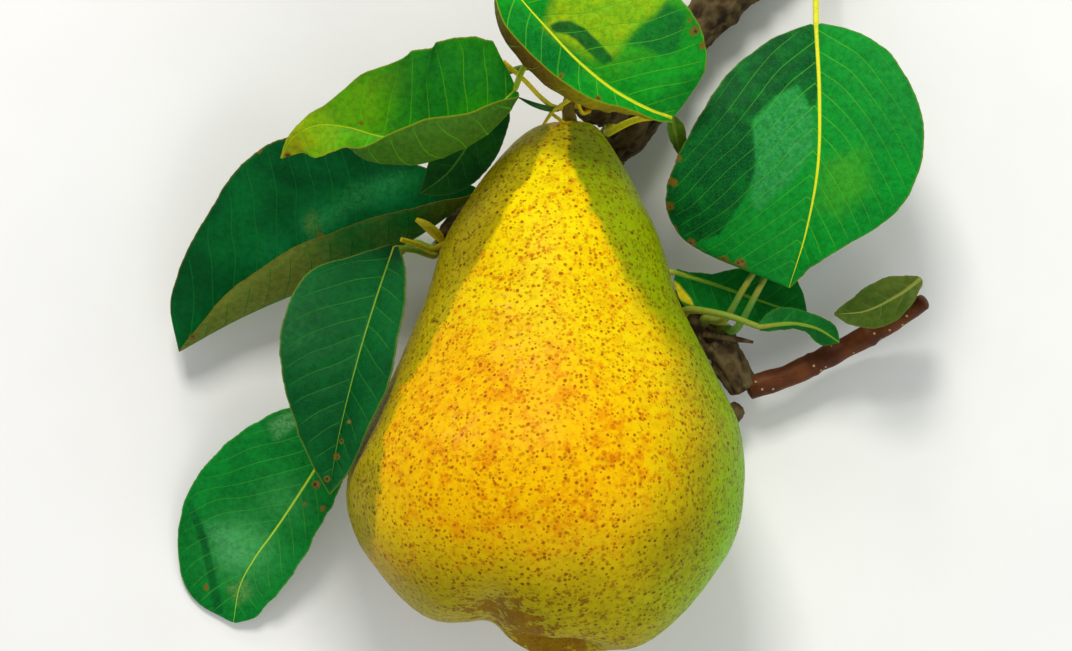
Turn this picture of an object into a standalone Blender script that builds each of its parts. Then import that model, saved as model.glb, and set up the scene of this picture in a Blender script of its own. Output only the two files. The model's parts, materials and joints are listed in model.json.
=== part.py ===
"""A cut pear branch that lies on a flat surface, with one large pear, its stalk and calyx,
short spurs, a side limb, a young shoot and the leaves round them.

Units are metres and +Z is up. Layout numbers are millimetres, read from above: x to the
right, y away from the blossom end of the pear, and z up from the surface it lies on."""

import math

import bmesh
import bpy
from mathutils import Vector

MM = 0.001

# Clearances and thicknesses, in millimetres
GAP = 0.35
LEAF_THICKNESS = 0.9
MIDRIB_THICKNESS = 1.5
PETIOLE_RADIUS = 0.85
PETIOLE_RISE = 2.0

# The pear: its stem end, how far its blossom end is tipped up, and its outline as
# (along the axis from the stem end, radius, sideways shift) in millimetres
PEAR_TOP = (0.0, 40.9)
PEAR_TIP_UP = math.radians(9.0)
PEAR_OUTLINE = (
    (1.8, 0.0, 7.0),
    (0.3, 3.0, 6.8),
    (1.0, 6.2, 6.0),
    (4.5, 9.9, 4.9),
    (12.0, 15.1, 4.0),
    (24.0, 21.6, 3.1),
    (36.0, 25.4, 2.9),
    (50.0, 31.8, 3.8),
    (62.0, 37.2, 3.3),
    (73.0, 39.6, 2.1),
    (84.0, 37.8, 1.8),
    (94.0, 31.6, 2.3),
    (102.5, 23.2, 2.6),
    (106.4, 14.5, 3.0),
    (103.4, 8.2, 3.0),
    (99.0, 4.8, 3.0),
    (98.4, 0.0, 3.0),
)
PEAR_DEPTH = 0.98
PEAR_SIDES = 36
PEAR_RINGS = 28
LOBE_START = 74.0
LOBE_FULL = 102.0
LOBE_WAVE = 0.6
LOBE_WAVES = 3
LOBE_TURN = math.radians(20.0)

# Where the rim round the basin is drawn in: by how much, at which sideways places and by
# which share there, and between which radii the change fades out towards the belly
DENT_DEPTH = 6.2
DENT_PLACES = (-26.0, -22.0, -18.0, -14.0, -10.5, -8.0, -5.0, -1.5, 3.5)
DENT_SHARES = (0.0, 0.2, 0.42, 0.7, 0.93, 0.9, 0.52, 0.24, 0.0)
DENT_RADII = (18.0, 35.0)

# The flower's dried rest in the basin
CALYX_RADIUS = 3.2
CALYX_SEPALS = 5
CALYX_HEIGHT = 3.0

# Limbs: the middle line and the radius at each of its points, in millimetres
CUT_CENTRE = (63.0, 87.0, 5.5)
BRANCH_PATH = (
    CUT_CENTRE,
    (52.6, 79.4, 5.5),
    (43.4, 71.4, 5.7),
    (36.4, 64.6, 6.2),
    (29.8, 57.6, 6.8),
    (24.8, 50.0, 7.8),
    (21.4, 43.6, 8.2),
    (18.6, 39.4, 7.4),
    (15.0, 36.2, 6.4),
)
BRANCH_RADII = (5.3, 5.2, 5.0, 4.8, 4.6, 4.5, 4.7, 4.6, 4.1)
RIGHT_LIMB_PATH = (
    (14.4, 35.7, 6.25),
    (11.8, 33.3, 5.6),
    (10.2, 28.6, 4.9),
    (11.0, 21.6, 4.4),
    (14.5, 13.6, 4.2),
    (21.5, 7.0, 4.6),
    (29.4, 2.6, 6.0),
    (36.2, -2.8, 7.8),
    (39.9, -7.8, 8.4),
    (42.6, -12.9, 8.2),
)
RIGHT_LIMB_RADII = (4.1, 4.0, 3.8, 3.7, 3.6, 3.6, 3.7, 3.9, 3.7, 3.1)
LOWER_STUB_PATH = (
    (36.2, -9.85, 7.6),
    (35.1, -11.6, 7.0),
    (34.9, -16.6, 6.0),
    (38.6, -19.6, 6.2),
    (41.6, -16.8, 6.8),
)
LOWER_STUB_RADII = (1.7, 1.8, 2.0, 2.2, 1.8)
LEFT_SPUR_PATH = (
    (5.6, 30.4, 5.0),
    (0.6, 29.6, 4.8),
    (-6.0, 27.0, 5.2),
    (-12.6, 23.4, 7.8),
    (-16.6, 20.0, 12.0),
    (-18.4, 17.2, 16.0),
)
LEFT_SPUR_RADII = (2.8, 2.7, 2.6, 2.6, 2.7, 2.2)
FRUIT_SPUR_PATH = ((16.8, 43.8, 12.6), (14.8, 44.6, 16.2), (12.3, 45.2, 19.9), (9.6, 45.6, 23.4))
FRUIT_SPUR_RADII = (3.2, 4.0, 4.2, 3.3)
SHOOT_PATH = (
    (46.0, -12.1, 8.2),
    (51.8, -10.3, 7.6),
    (57.6, -7.5, 7.6),
    (64.2, -4.1, 8.6),
    (72.0, 0.2, 11.6),
    (79.0, 4.8, 16.0),
)
SHOOT_RADII = (2.4, 2.35, 2.3, 2.2, 2.0, 1.7)
STALK_PATH = (
    (6.8, 41.5, 28.4),
    (6.5, 43.3, 29.4),
    (6.7, 45.2, 28.2),
    (8.0, 45.9, 25.5),
    (9.2, 45.75, 23.95),
)
STALK_RADII = (1.5, 1.3, 1.3, 1.6, 2.1)
LIMB_SIDES = 10
TWIG_SIDES = 8
RINGS_PER_POINT = 3

# Shares of a blade's length at which its widths, folds and curls are given
BLADE_STATIONS = (0.0, 0.1, 0.25, 0.45, 0.62, 0.78, 0.89, 1.0)
BLADE_RINGS = (0.0, 0.04, 0.1, 0.18, 0.28, 0.39, 0.5, 0.61, 0.72, 0.82, 0.9, 0.96, 1.0)
CURL_POWER = 1.5
PETIOLE_RINGS = 5
PETIOLE_SPACING = 1.5

# Colours, with roughness, as this kind of plant shows them
MATERIALS = {
    "bark": ((0.09, 0.06, 0.04), 0.9),
    "shoot_bark": ((0.22, 0.06, 0.03), 0.55),
    "pear_skin": ((0.72, 0.52, 0.03), 0.42),
    "stalk": ((0.18, 0.13, 0.04), 0.7),
    "calyx": ((0.10, 0.06, 0.03), 0.9),
    "leaf": ((0.02, 0.20, 0.04), 0.45),
}

# Each leaf: its foot's limb, place along it and direction, the petiole's further points,
# the midrib's points, then widths, folds and curls of its left and right halves. Left
# and right are as seen from above on the way from the foot to the tip. Lengths are in
# millimetres and angles in degrees.
LEAVES = {
    "leaf_left_long": {
        "foot": ("left_spur", 0.36, (-0.1, 0.5, 0.9)),
        "petiole": ((-6.2, 29.6, 11.6),),
        "midrib": (
            (-11.8, 27.4, 13.8),
            (-24.0, 18.6, 13.2),
            (-36.0, 12.2, 11.8),
            (-48.4, 7.0, 10.0),
            (-60.4, 1.7, 8.4),
            (-73.0, -5.0, 7.0),
        ),
        "left": (1.2, 6.0, 11.4, 14.0, 12.8, 9.4, 6.0, 0.2),
        "right": (1.2, 12.4, 24.2, 29.8, 27.6, 20.8, 13.8, 0.2),
        "left_fold": (60.0, 88.0, 100.0, 102.0, 102.0, 100.0, 92.0, 80.0),
        "left_curl": 26.0,
        "right_fold": 14.0,
        "right_curl": -6.0,
        "steps": 5,
    },
    "leaf_upper_left": {
        "foot": ("fruit_spur", 0.84, (0.75, -0.25, 0.6)),
        "petiole": ((12.6, 45.6, 28.6), (8.6, 49.8, 32.4), (3.0, 53.0, 36.4), (-1.8, 52.2, 39.2)),
        "midrib": (
            (-4.4, 46.8, 40.2),
            (-9.6, 42.2, 42.0),
            (-16.4, 39.0, 43.6),
            (-24.0, 37.0, 44.8),
            (-31.0, 37.6, 45.4),
            (-37.5, 39.4, 45.4),
            (-43.6, 39.8, 44.6),
            (-48.4, 37.4, 43.4),
            (-50.8, 33.4, 41.6),
        ),
        "left": (1.2, 12.0, 24.0, 27.0, 19.0, 8.6, 6.4, 0.2),
        "right": (1.2, 15.8, 18.0, 18.0, 13.6, 3.4, 1.4, 0.2),
        "left_fold": (20.0, 20.0, 16.0, 12.0, 10.0, 2.0, 0.0, 0.0),
        "left_curl": (60.0, 130.0, 160.0, 164.0, 120.0, 14.0, 0.0, 0.0),
        "left_power": 0.75,
        "right_fold": 10.0,
        "right_curl": 6.0,
        "fan": 22.0,
        "steps": 6,
    },
    "leaf_behind_upper_left": {
        "foot": ("fruit_spur", 0.66, (-0.45, 0.80, 0.35)),
        "petiole": ((5.6, 51.0, 26.6), (-1.4, 52.0, 30.4)),
        "midrib": (
            (-7.0, 50.6, 32.0),
            (-9.8, 44.6, 31.8),
            (-13.0, 37.6, 30.6),
            (-17.6, 31.0, 28.2),
            (-23.4, 26.6, 25.6),
        ),
        "left": (0.8, 3.2, 5.4, 6.2, 5.8, 4.4, 2.6, 0.2),
        "right": (0.8, 4.0, 7.0, 8.0, 7.0, 4.6, 2.6, 0.2),
        "left_fold": 8.0,
        "right_fold": 8.0,
    },
    "leaf_hanging": {
        "foot": ("left_spur", 0.95, (-0.55, -0.7, 0.45)),
        "petiole": ((-20.8, 14.2, 20.0), (-24.4, 15.2, 28.6)),
        "midrib": (
            (-28.6, 15.6, 32.6),
            (-32.2, 4.4, 39.4),
            (-35.3, -6.3, 44.4),
            (-38.4, -18.7, 46.6),
            (-40.0, -26.7, 46.4),
            (-41.0, -33.5, 44.8),
        ),
        "left": (1.2, 5.0, 7.8, 10.2, 10.4, 8.0, 4.8, 0.2),
        "right": (1.2, 8.6, 16.0, 16.9, 14.0, 8.8, 4.6, 0.2),
        "left_fold": (42.0, 42.0, 42.0, 44.0, 50.0, 54.0, 54.0, 54.0),
        "left_curl": -10.0,
        "right_fold": 4.0,
        "right_curl": -10.0,
        "fan": 20.0,
    },
    "leaf_lower_left": {
        "foot": ("left_spur", 0.62, (-0.8, -0.5, -0.5)),
        "petiole": ((-20.8, 16.2, 5.8), (-25.4, 16.8, 6.8), (-30.2, 11.6, 7.8), (-33.6, -1.0, 9.8)),
        "midrib": (
            (-38.8, -18.4, 11.4),
            (-43.8, -27.1, 10.6),
            (-48.9, -35.1, 9.2),
            (-53.5, -41.9, 7.4),
            (-57.8, -47.8, 5.6),
            (-61.0, -53.8, 3.6),
            (-62.4, -61.2, 1.5),
        ),
        "stations": (0.0, 0.1, 0.25, 0.45, 0.62, 0.78, 0.89, 0.96, 1.0),
        "left": (1.2, 3.8, 6.4, 7.5, 8.4, 8.3, 7.2, 5.4, 0.6),
        "right": (1.2, 10.0, 15.4, 19.0, 19.6, 17.0, 12.8, 8.6, 0.6),
        "fan": 12.0,
        "left_fold": 12.0,
        "right_fold": -4.0,
        "right_curl": -11.0,
    },
    "leaf_top": {
        "foot": ("fruit_spur", 0.45, (0.10, -0.85, 0.50)),
        "petiole": ((14.8, 39.2, 23.6), (20.0, 41.4, 29.6), (25.6, 42.0, 33.6)),
        "midrib": (
            (26.8, 41.6, 38.4),
            (21.4, 43.6, 41.8),
            (14.8, 47.3, 43.6),
            (7.8, 53.1, 44.8),
            (1.8, 59.5, 45.0),
            (-2.2, 64.0, 44.6),
            (-6.4, 69.4, 43.4),
        ),
        "left": (1.2, 3.4, 8.8, 19.2, 23.0, 19.0, 11.6, 0.2),
        "right": (1.2, 11.2, 19.6, 23.6, 23.2, 17.6, 10.6, 0.2),
        "left_fold": 25.0,
        "left_curl": (20.0, 90.0, 124.0, 130.0, 130.0, 130.0, 120.0, 60.0),
        "right_fold": 14.0,
        "right_curl": -6.0,
        "fan": 44.0,
        "steps": 6,
    },
    "leaf_right": {
        "foot": ("branch", 0.10, (0.02, -0.30, 1.0)),
        "petiole": ((57.0, 74.0, 16.4),),
        "midrib": (
            (56.8, 60.7, 22.0),
            (57.2, 46.0, 27.6),
            (56.8, 32.1, 29.4),
            (54.6, 19.1, 26.4),
            (51.4, 7.7, 20.6),
        ),
        "stations": (0.0, 0.1, 0.25, 0.45, 0.62, 0.78, 0.89, 0.955, 1.0),
        "left": (1.2, 9.0, 17.0, 21.6, 18.6, 9.2, 3.8, 1.6, 0.2),
        "right": (1.2, 8.4, 17.6, 26.0, 29.8, 29.6, 25.4, 17.6, 0.2),
        "left_fold": 20.0,
        "left_curl": -10.0,
        "right_fold": 8.0,
        "right_curl": -14.0,
        "fan": 24.0,
    },
    "leaf_small_olive": {
        "foot": ("branch", 0.70, (0.75, 0.1, 0.7)),
        "petiole": ((28.0, 46.4, 17.0), (27.6, 44.4, 24.0)),
        "midrib": ((27.4, 42.0, 28.0), (28.2, 38.6, 28.0), (29.0, 34.6, 26.0)),
        "left": (0.8, 1.4, 2.2, 2.6, 2.4, 1.8, 1.2, 0.2),
        "right": (0.8, 1.4, 2.2, 2.4, 2.0, 1.4, 0.8, 0.2),
        "left_fold": 12.0,
        "right_fold": 12.0,
        "steps": 2,
    },
    "leaf_shaded_inner": {
        "foot": ("right_limb", 0.62, (-0.2, 0.6, 0.8)),
        "petiole": ((25.0, 11.0, 11.6),),
        "midrib": (
            (28.6, 10.8, 12.6),
            (36.4, 8.4, 13.2),
            (44.2, 5.6, 13.2),
            (50.6, 3.4, 12.8),
            (55.6, 1.6, 11.6),
        ),
        "left": (0.8, 1.0, 2.0, 5.4, 7.6, 7.4, 5.0, 0.2),
        "right": (0.8, 2.8, 4.4, 4.8, 5.0, 4.2, 2.6, 0.2),
        "left_fold": -8.0,
        "right_fold": -4.0,
    },
    "leaf_shaded_outer": {
        "foot": ("right_limb", 0.70, (-0.2, 0.3, 1.0)),
        "petiole": ((32.4, 3.2, 15.2), (39.0, 2.0, 18.6)),
        "midrib": (
            (45.4, -0.3, 19.2),
            (52.0, 0.4, 18.8),
            (57.4, -0.7, 17.6),
            (61.8, -3.4, 15.8),
        ),
        "left": (0.8, 2.4, 3.4, 3.0, 2.6, 2.4, 2.0, 0.2),
        "right": (0.8, 1.2, 1.3, 1.4, 2.0, 3.0, 2.6, 0.2),
        "left_fold": -8.0,
        "right_fold": -30.0,
    },
    "leaf_shaded_back": {
        "foot": ("right_limb", 0.765, (0.45, 0.2, 0.85)),
        "petiole": ((38.4, 1.2, 15.2), (42.0, 7.2, 18.6)),
        "midrib": (
            (45.4, 12.6, 20.0),
            (46.2, 19.0, 20.6),
            (45.0, 26.4, 20.4),
            (42.6, 34.0, 19.4),
        ),
        "left": (0.8, 4.2, 6.0, 6.8, 6.2, 4.6, 2.8, 0.2),
        "right": (0.8, 1.8, 3.4, 5.6, 6.2, 4.8, 3.0, 0.2),
        "left_fold": 4.0,
        "right_fold": 4.0,
        "fan": 20.0,
    },
    "leaf_under_right": {
        "foot": ("right_limb", 0.815, (0.5, 0.4, 0.7)),
        "petiole": ((40.9, -0.6, 14.4), (44.9, 6.6, 18.2)),
        "midrib": (
            (48.6, 13.6, 18.2),
            (53.6, 18.4, 18.2),
            (59.4, 21.2, 17.2),
            (65.6, 21.8, 15.2),
        ),
        "left": (0.8, 2.8, 6.0, 8.0, 7.4, 5.0, 3.0, 0.2),
        "right": (0.8, 1.6, 2.6, 3.8, 4.4, 3.8, 2.6, 0.2),
        "left_fold": 4.0,
        "left_curl": -14.0,
        "right_fold": -4.0,
        "right_curl": -14.0,
    },
    "leaf_on_shoot": {
        "foot": ("right_shoot", 0.86, (-0.2, 0.75, 0.62)),
        "petiole": ((77.4, 7.6, 20.0),),
        "midrib": ((77.8, 9.4, 23.0), (73.4, 6.2, 23.2), (67.0, 3.0, 21.4), (60.6, 2.3, 19.6)),
        "left": (0.8, 2.0, 3.6, 4.4, 4.0, 2.8, 1.8, 0.2),
        "right": (0.8, 2.4, 4.2, 5.0, 4.6, 3.2, 2.0, 0.2),
        "left_fold": 14.0,
        "right_fold": 20.0,
    },
}


def point(place):
    """A layout place in millimetres as a point in metres."""
    return Vector(place) * MM


def on_curve(points, t):
    """The point at t, from 0 to 1, on a smooth curve that passes through the points."""
    last = len(points) - 1
    span = min(int(t * last), last - 1)
    u = t * last - span
    b, c = points[span], points[span + 1]
    a = points[span - 1] if span > 0 else b * 2.0 - c
    d = points[span + 2] if span + 2 <= last else c * 2.0 - b
    return 0.5 * (
        b * 2.0
        + (c - a) * u
        + (a * 2.0 - b * 5.0 + c * 4.0 - d) * u**2
        + (b * 3.0 - a - c * 3.0 + d) * u**3
    )


def even_places(points, shares, samples=120):
    """Points of the smooth curve at the given shares of its length."""
    fine = [on_curve(points, k / samples) for k in range(samples + 1)]
    run = [0.0]
    for a, b in zip(fine, fine[1:]):
        run.append(run[-1] + (b - a).length)
    places = []
    for share in shares:
        goal = share * run[-1]
        k = 0
        while k < samples - 1 and run[k + 1] < goal:
            k += 1
        part = (goal - run[k]) / max(run[k + 1] - run[k], 1e-12)
        places.append(fine[k].lerp(fine[k + 1], part))
    return places


def between(stations, values, t):
    """A smooth value at t, from values at rising stations. A single value holds all over."""
    if isinstance(values, float):
        return values
    k = 0
    while k < len(stations) - 2 and t > stations[k + 1]:
        k += 1
    slopes = []
    for i in (k, k + 1):
        lo, hi = max(i - 1, 0), min(i + 1, len(values) - 1)
        slopes.append((values[hi] - values[lo]) / (stations[hi] - stations[lo]))
    width = stations[k + 1] - stations[k]
    u = (t - stations[k]) / width
    start = (2 * u**3 - 3 * u**2 + 1) * values[k] + (u**3 - 2 * u**2 + u) * slopes[0] * width
    end = (3 * u**2 - 2 * u**3) * values[k + 1] + (u**3 - u**2) * slopes[1] * width
    return start + end


def directions(places):
    """The direction of travel at each place of a line."""
    ways = []
    for k in range(len(places)):
        ways.append((places[min(k + 1, len(places) - 1)] - places[max(k - 1, 0)]).normalized())
    return ways


def carried(side, way):
    """A sideways direction turned as little as it takes to be square to a new way."""
    return (side - way * side.dot(way)).normalized()


def material_named(name):
    """The plain material of that name, made the first time."""
    if name in bpy.data.materials:
        return bpy.data.materials[name]
    colour, roughness = MATERIALS[name]
    material = bpy.data.materials.new(name)
    material.use_nodes = True
    shader = material.node_tree.nodes["Principled BSDF"]
    shader.inputs["Base Color"].default_value = (*colour, 1.0)
    shader.inputs["Roughness"].default_value = roughness
    shader.inputs["Metallic"].default_value = 0.0
    return material


def solid_of_rings(name, rings, material):
    """A closed solid through rings of equal length, with a flat cap at either end."""
    mesh = bpy.data.meshes.new(name)
    shape = bmesh.new()
    rows = [[shape.verts.new(place) for place in ring] for ring in rings]
    count = len(rows[0])
    for row, following in zip(rows, rows[1:]):
        for k in range(count):
            after = (k + 1) % count
            shape.faces.new((row[k], row[after], following[after], following[k]))
    shape.faces.new(rows[0][::-1])
    shape.faces.new(rows[-1])
    bmesh.ops.recalc_face_normals(shape, faces=shape.faces)
    shape.to_mesh(mesh)
    shape.free()
    mesh.materials.append(material_named(material))
    mesh.shade_smooth()
    mesh.set_sharp_from_angle(angle=math.radians(50.0))
    thing = bpy.data.objects.new(name, mesh)
    bpy.context.scene.collection.objects.link(thing)
    return thing


def limb_line(path, radii, count):
    """Places, radii and ways along a limb, at even shares of its length."""
    points = [point(place) for place in path]
    shares = [k / (count - 1) for k in range(count)]
    stations = [k / (len(radii) - 1) for k in range(len(radii))]
    places = even_places(points, shares)
    widths = [between(stations, radii, share) * MM for share in shares]
    return places, widths, directions(places)


def limb(name, path, radii, sides, material, knots=0.05):
    """A tapering limb with low swellings and flat ends."""
    places, widths, ways = limb_line(path, radii, RINGS_PER_POINT * (len(path) - 1) + 1)
    side = carried(Vector((0.0, 0.0, 1.0)), ways[0])
    rings = []
    for k, (place, width, way) in enumerate(zip(places, widths, ways)):
        side = carried(side, way)
        across = way.cross(side)
        inner = 0 < k < len(places) - 1
        swell = 1.0 + (knots * math.sin(2.3 * k) if inner else 0.0)
        ring = []
        for n in range(sides):
            angle = 2.0 * math.pi * n / sides
            reach = width * swell
            ring.append(place + (side * math.cos(angle) + across * math.sin(angle)) * reach)
        rings.append(ring)
    return solid_of_rings(name, rings, material)


def foot_on(limb_name, share, way):
    """Where a petiole leaves a limb, clear of its bark, and the way it leaves."""
    path, radii = LIMBS[limb_name][:2]
    places, widths, ways = limb_line(path, radii, 61)
    k = round(share * 60)
    outward = carried(Vector(way).normalized(), ways[k])
    return places[k] + outward * (widths[k] * 1.06 + GAP * MM), outward


def pear_place(along, radius, aside, angle):
    """A point of the pear's skin, before it is set down on the surface."""
    share = min(max((along - LOBE_START) / (LOBE_FULL - LOBE_START), 0.0), 1.0)
    ease = share**2 * (3.0 - 2.0 * share)
    x = aside + radius * math.cos(angle)
    inside, outside = DENT_RADII
    near_rim = min(max((outside - radius) / (outside - inside), 0.0), 1.0)
    near_rim = near_rim**2 * (3.0 - 2.0 * near_rim)
    dent_at = min(max(x, DENT_PLACES[0]), DENT_PLACES[-1])
    shift = LOBE_WAVE * math.cos(LOBE_WAVES * (angle - LOBE_TURN))
    shift -= DENT_DEPTH * near_rim * between(DENT_PLACES, DENT_SHARES, dent_at)
    along = along + shift * ease * min(radius / 12.0, 1.0) ** 2
    height = radius * PEAR_DEPTH * math.sin(angle)
    y = PEAR_TOP[1] - along * math.cos(PEAR_TIP_UP) + height * math.sin(PEAR_TIP_UP)
    z = along * math.sin(PEAR_TIP_UP) + height * math.cos(PEAR_TIP_UP)
    return Vector((x, y, z)) * MM


def pear():
    """The fruit, lying on its side on the surface."""
    outline = [Vector(row) for row in PEAR_OUTLINE]
    shares = [k / PEAR_RINGS for k in range(PEAR_RINGS + 1)]
    rows = even_places(outline, shares)
    mesh = bpy.data.meshes.new("pear")
    shape = bmesh.new()
    rings = []
    for along, radius, aside in rows[1:-1]:
        ring = []
        for n in range(PEAR_SIDES):
            place = pear_place(along, radius, aside, 2.0 * math.pi * n / PEAR_SIDES)
            ring.append(shape.verts.new(place))
        rings.append(ring)
    for ring, following in zip(rings, rings[1:]):
        for n in range(PEAR_SIDES):
            after = (n + 1) % PEAR_SIDES
            shape.faces.new((ring[n], ring[after], following[after], following[n]))
    for row, ring in ((rows[0], rings[0]), (rows[-1], rings[-1])):
        pit = shape.verts.new(pear_place(row[0], 0.0, row[2], 0.0))
        for n in range(PEAR_SIDES):
            shape.faces.new((ring[n], ring[(n + 1) % PEAR_SIDES], pit))
    bmesh.ops.recalc_face_normals(shape, faces=shape.faces)
    shape.to_mesh(mesh)
    shape.free()
    mesh.materials.append(material_named("pear_skin"))
    mesh.shade_smooth()
    thing = bpy.data.objects.new("pear", mesh)
    bpy.context.scene.collection.objects.link(thing)
    return thing


def calyx(lift):
    """A dried star of sepals that stands in the basin at the blossom end."""
    along, _, aside = PEAR_OUTLINE[-1]
    middle = pear_place(along, 0.0, aside, 0.0) + Vector((0.0, 0.0, lift))
    outward = Vector((0.0, -math.cos(PEAR_TIP_UP), math.sin(PEAR_TIP_UP)))
    side = Vector((1.0, 0.0, 0.0))
    above = outward.cross(side)
    sides = CALYX_SEPALS * 2
    rings = []
    for rise, reach, star in ((1.0, 0.5, 0.0), (1.8, 0.75, 0.1), (CALYX_HEIGHT, 1.0, 0.28)):
        ring = []
        for n in range(sides):
            angle = 2.0 * math.pi * n / sides
            spoke = CALYX_RADIUS * reach * (1.0 + star * (1 if n % 2 else -1))
            away = (side * math.cos(angle) + above * math.sin(angle)) * spoke
            ring.append(middle + (outward * rise + away) * MM)
        rings.append(ring)
    return solid_of_rings("calyx", rings, "calyx")


def half_blade(width, fold, curl, power, steps):
    """(across, up, slope) from the midrib out to the margin of one half of a blade."""
    across, up = 0.0, 0.0
    places = [(across, up, math.radians(fold))]
    for k in range(steps):
        middle = math.radians(fold + curl * ((k + 0.5) / steps) ** power)
        across += math.cos(middle) * width / steps
        up += math.sin(middle) * width / steps
        places.append((across, up, math.radians(fold + curl * ((k + 1) / steps) ** power)))
    return places


def blade_ring(leaf, t, place, way, above):
    """A closed ring round the blade at t, the upper side first, from left to right."""
    steps = leaf.get("steps", 3)
    right = way.cross(above)
    back = math.radians(leaf.get("fan", 0.0)) * (1.0 - t) ** 2
    upper, lower = [], []
    for hand, sign in (("left", -1), ("right", 1)):
        width = max(between(leaf.get("stations", BLADE_STATIONS), leaf[hand], t), 0.2)
        fold = between(BLADE_STATIONS, leaf.get(hand + "_fold", 0.0), t)
        curl = between(BLADE_STATIONS, leaf.get(hand + "_curl", 0.0), t)
        power = leaf.get(hand + "_power", CURL_POWER)
        out = right * sign * math.cos(back) - way * math.sin(back)
        row = []
        for k, (across, up, slope) in enumerate(half_blade(width, fold, curl, power, steps)):
            thin = LEAF_THICKNESS if k else MIDRIB_THICKNESS - 0.6 * t
            if k == 0:
                slope = 0.0
            middle = place + (out * across + above * up) * MM
            normal = above * math.cos(slope) - out * math.sin(slope)
            row.append((middle + normal * thin * MM / 2.0, middle - normal * thin * MM / 2.0))
        row = row[::-1] if sign < 0 else row[1:]
        upper += [pair[0] for pair in row]
        lower += [pair[1] for pair in row]
    return upper + lower[::-1]


def petiole_ring(count, place, side, above, radius):
    """A round ring of 2 x count places that matches a blade's ring, place by place."""
    ring = []
    for k in range(2 * count):
        angle = math.pi - math.pi * (k + 0.5) / count
        ring.append(place + (side * math.cos(angle) + above * math.sin(angle)) * radius)
    return ring


def leaf_solid(name, leaf):
    """A leaf as one solid: a round petiole that opens into a folded, curled blade."""
    foot, outward = foot_on(*leaf["foot"])
    midrib = [point(place) for place in leaf["midrib"]]
    stem = [foot, foot + outward * PETIOLE_RISE * MM]
    stem += [point(place) for place in leaf["petiole"]] + midrib[:1]
    blade_places = even_places(midrib, BLADE_RINGS)
    blade_ways = directions(blade_places)
    above = Vector((0.0, 0.0, 1.0))
    count = 2 * leaf.get("steps", 3) + 1
    rings = []
    for t, place, way in zip(BLADE_RINGS, blade_places, blade_ways):
        rings.append(blade_ring(leaf, t, place, way, carried(above, way)))
    stem_shares = [(k / PETIOLE_RINGS) ** PETIOLE_SPACING for k in range(PETIOLE_RINGS)]
    stem_places = even_places(stem, stem_shares)
    stem_ways = [outward] + directions(stem_places + blade_places[:1])[1:]
    side = blade_ways[0].cross(above).normalized()
    for place, way in reversed(list(zip(stem_places, stem_ways))):
        side = carried(side, way)
        ring = petiole_ring(count, place, side, side.cross(way), PETIOLE_RADIUS * MM)
        rings.insert(0, ring)
    return solid_of_rings(name, rings, "leaf")


def lowest(thing):
    """The height of an object's lowest vertex."""
    return min(vertex.co.z for vertex in thing.data.vertices)


def move(thing, by):
    """Moves an object's mesh."""
    for vertex in thing.data.vertices:
        vertex.co += by


def middle_of(things):
    """The middle of the things' common box, seen from above."""
    places = [vertex.co for thing in things for vertex in thing.data.vertices]
    xs = [place.x for place in places]
    ys = [place.y for place in places]
    return Vector(((min(xs) + max(xs)) / 2.0, (min(ys) + max(ys)) / 2.0, 0.0))


LIMBS = {
    "branch": (BRANCH_PATH, BRANCH_RADII, LIMB_SIDES, "bark"),
    "right_limb": (RIGHT_LIMB_PATH, RIGHT_LIMB_RADII, LIMB_SIDES, "bark"),
    "lower_stub": (LOWER_STUB_PATH, LOWER_STUB_RADII, TWIG_SIDES, "bark"),
    "left_spur": (LEFT_SPUR_PATH, LEFT_SPUR_RADII, TWIG_SIDES, "bark"),
    "fruit_spur": (FRUIT_SPUR_PATH, FRUIT_SPUR_RADII, LIMB_SIDES, "bark"),
    "right_shoot": (SHOOT_PATH, SHOOT_RADII, TWIG_SIDES, "shoot_bark"),
}


def main():
    """Builds the whole piece, with its origin on the surface under its middle."""
    for thing in list(bpy.data.objects):
        bpy.data.objects.remove(thing)
    things = [limb(name, *shape) for name, shape in LIMBS.items()]
    things.append(limb("pear_stalk", STALK_PATH, STALK_RADII, TWIG_SIDES, "stalk", knots=0.0))
    fruit = pear()
    lift = -lowest(fruit)
    move(fruit, Vector((0.0, 0.0, lift)))
    things += [fruit, calyx(lift)]
    for name, leaf in LEAVES.items():
        blade = leaf_solid(name, leaf)
        things.append(blade)
    middle = middle_of(things)
    for thing in things:
        move(thing, -middle)


main()
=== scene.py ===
"""The look of a cut pear branch that lies on a pale floor, seen from straight above.

Layout numbers are millimetres, read from above: x to the right, y away from the blossom
end of the pear, and z up from the floor. The shapes follow the named sizes of the solids
that they stand for, with finer rings, thinner blades and relief. Some blades' widths, folds
and curls were fitted closer to the photograph."""

import json
import math

import bmesh
import bpy
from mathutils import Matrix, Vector, noise


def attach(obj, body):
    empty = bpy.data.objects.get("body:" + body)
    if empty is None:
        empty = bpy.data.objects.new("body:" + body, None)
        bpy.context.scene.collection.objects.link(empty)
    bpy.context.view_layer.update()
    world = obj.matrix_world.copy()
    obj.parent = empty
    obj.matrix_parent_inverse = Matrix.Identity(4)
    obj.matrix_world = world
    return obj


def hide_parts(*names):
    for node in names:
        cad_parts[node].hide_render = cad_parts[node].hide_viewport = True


MM = 0.001
TURN = 2.0 * math.pi
UP = Vector((0.0, 0.0, 1.0))
SHARP_ANGLE = math.radians(60.0)

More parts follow.
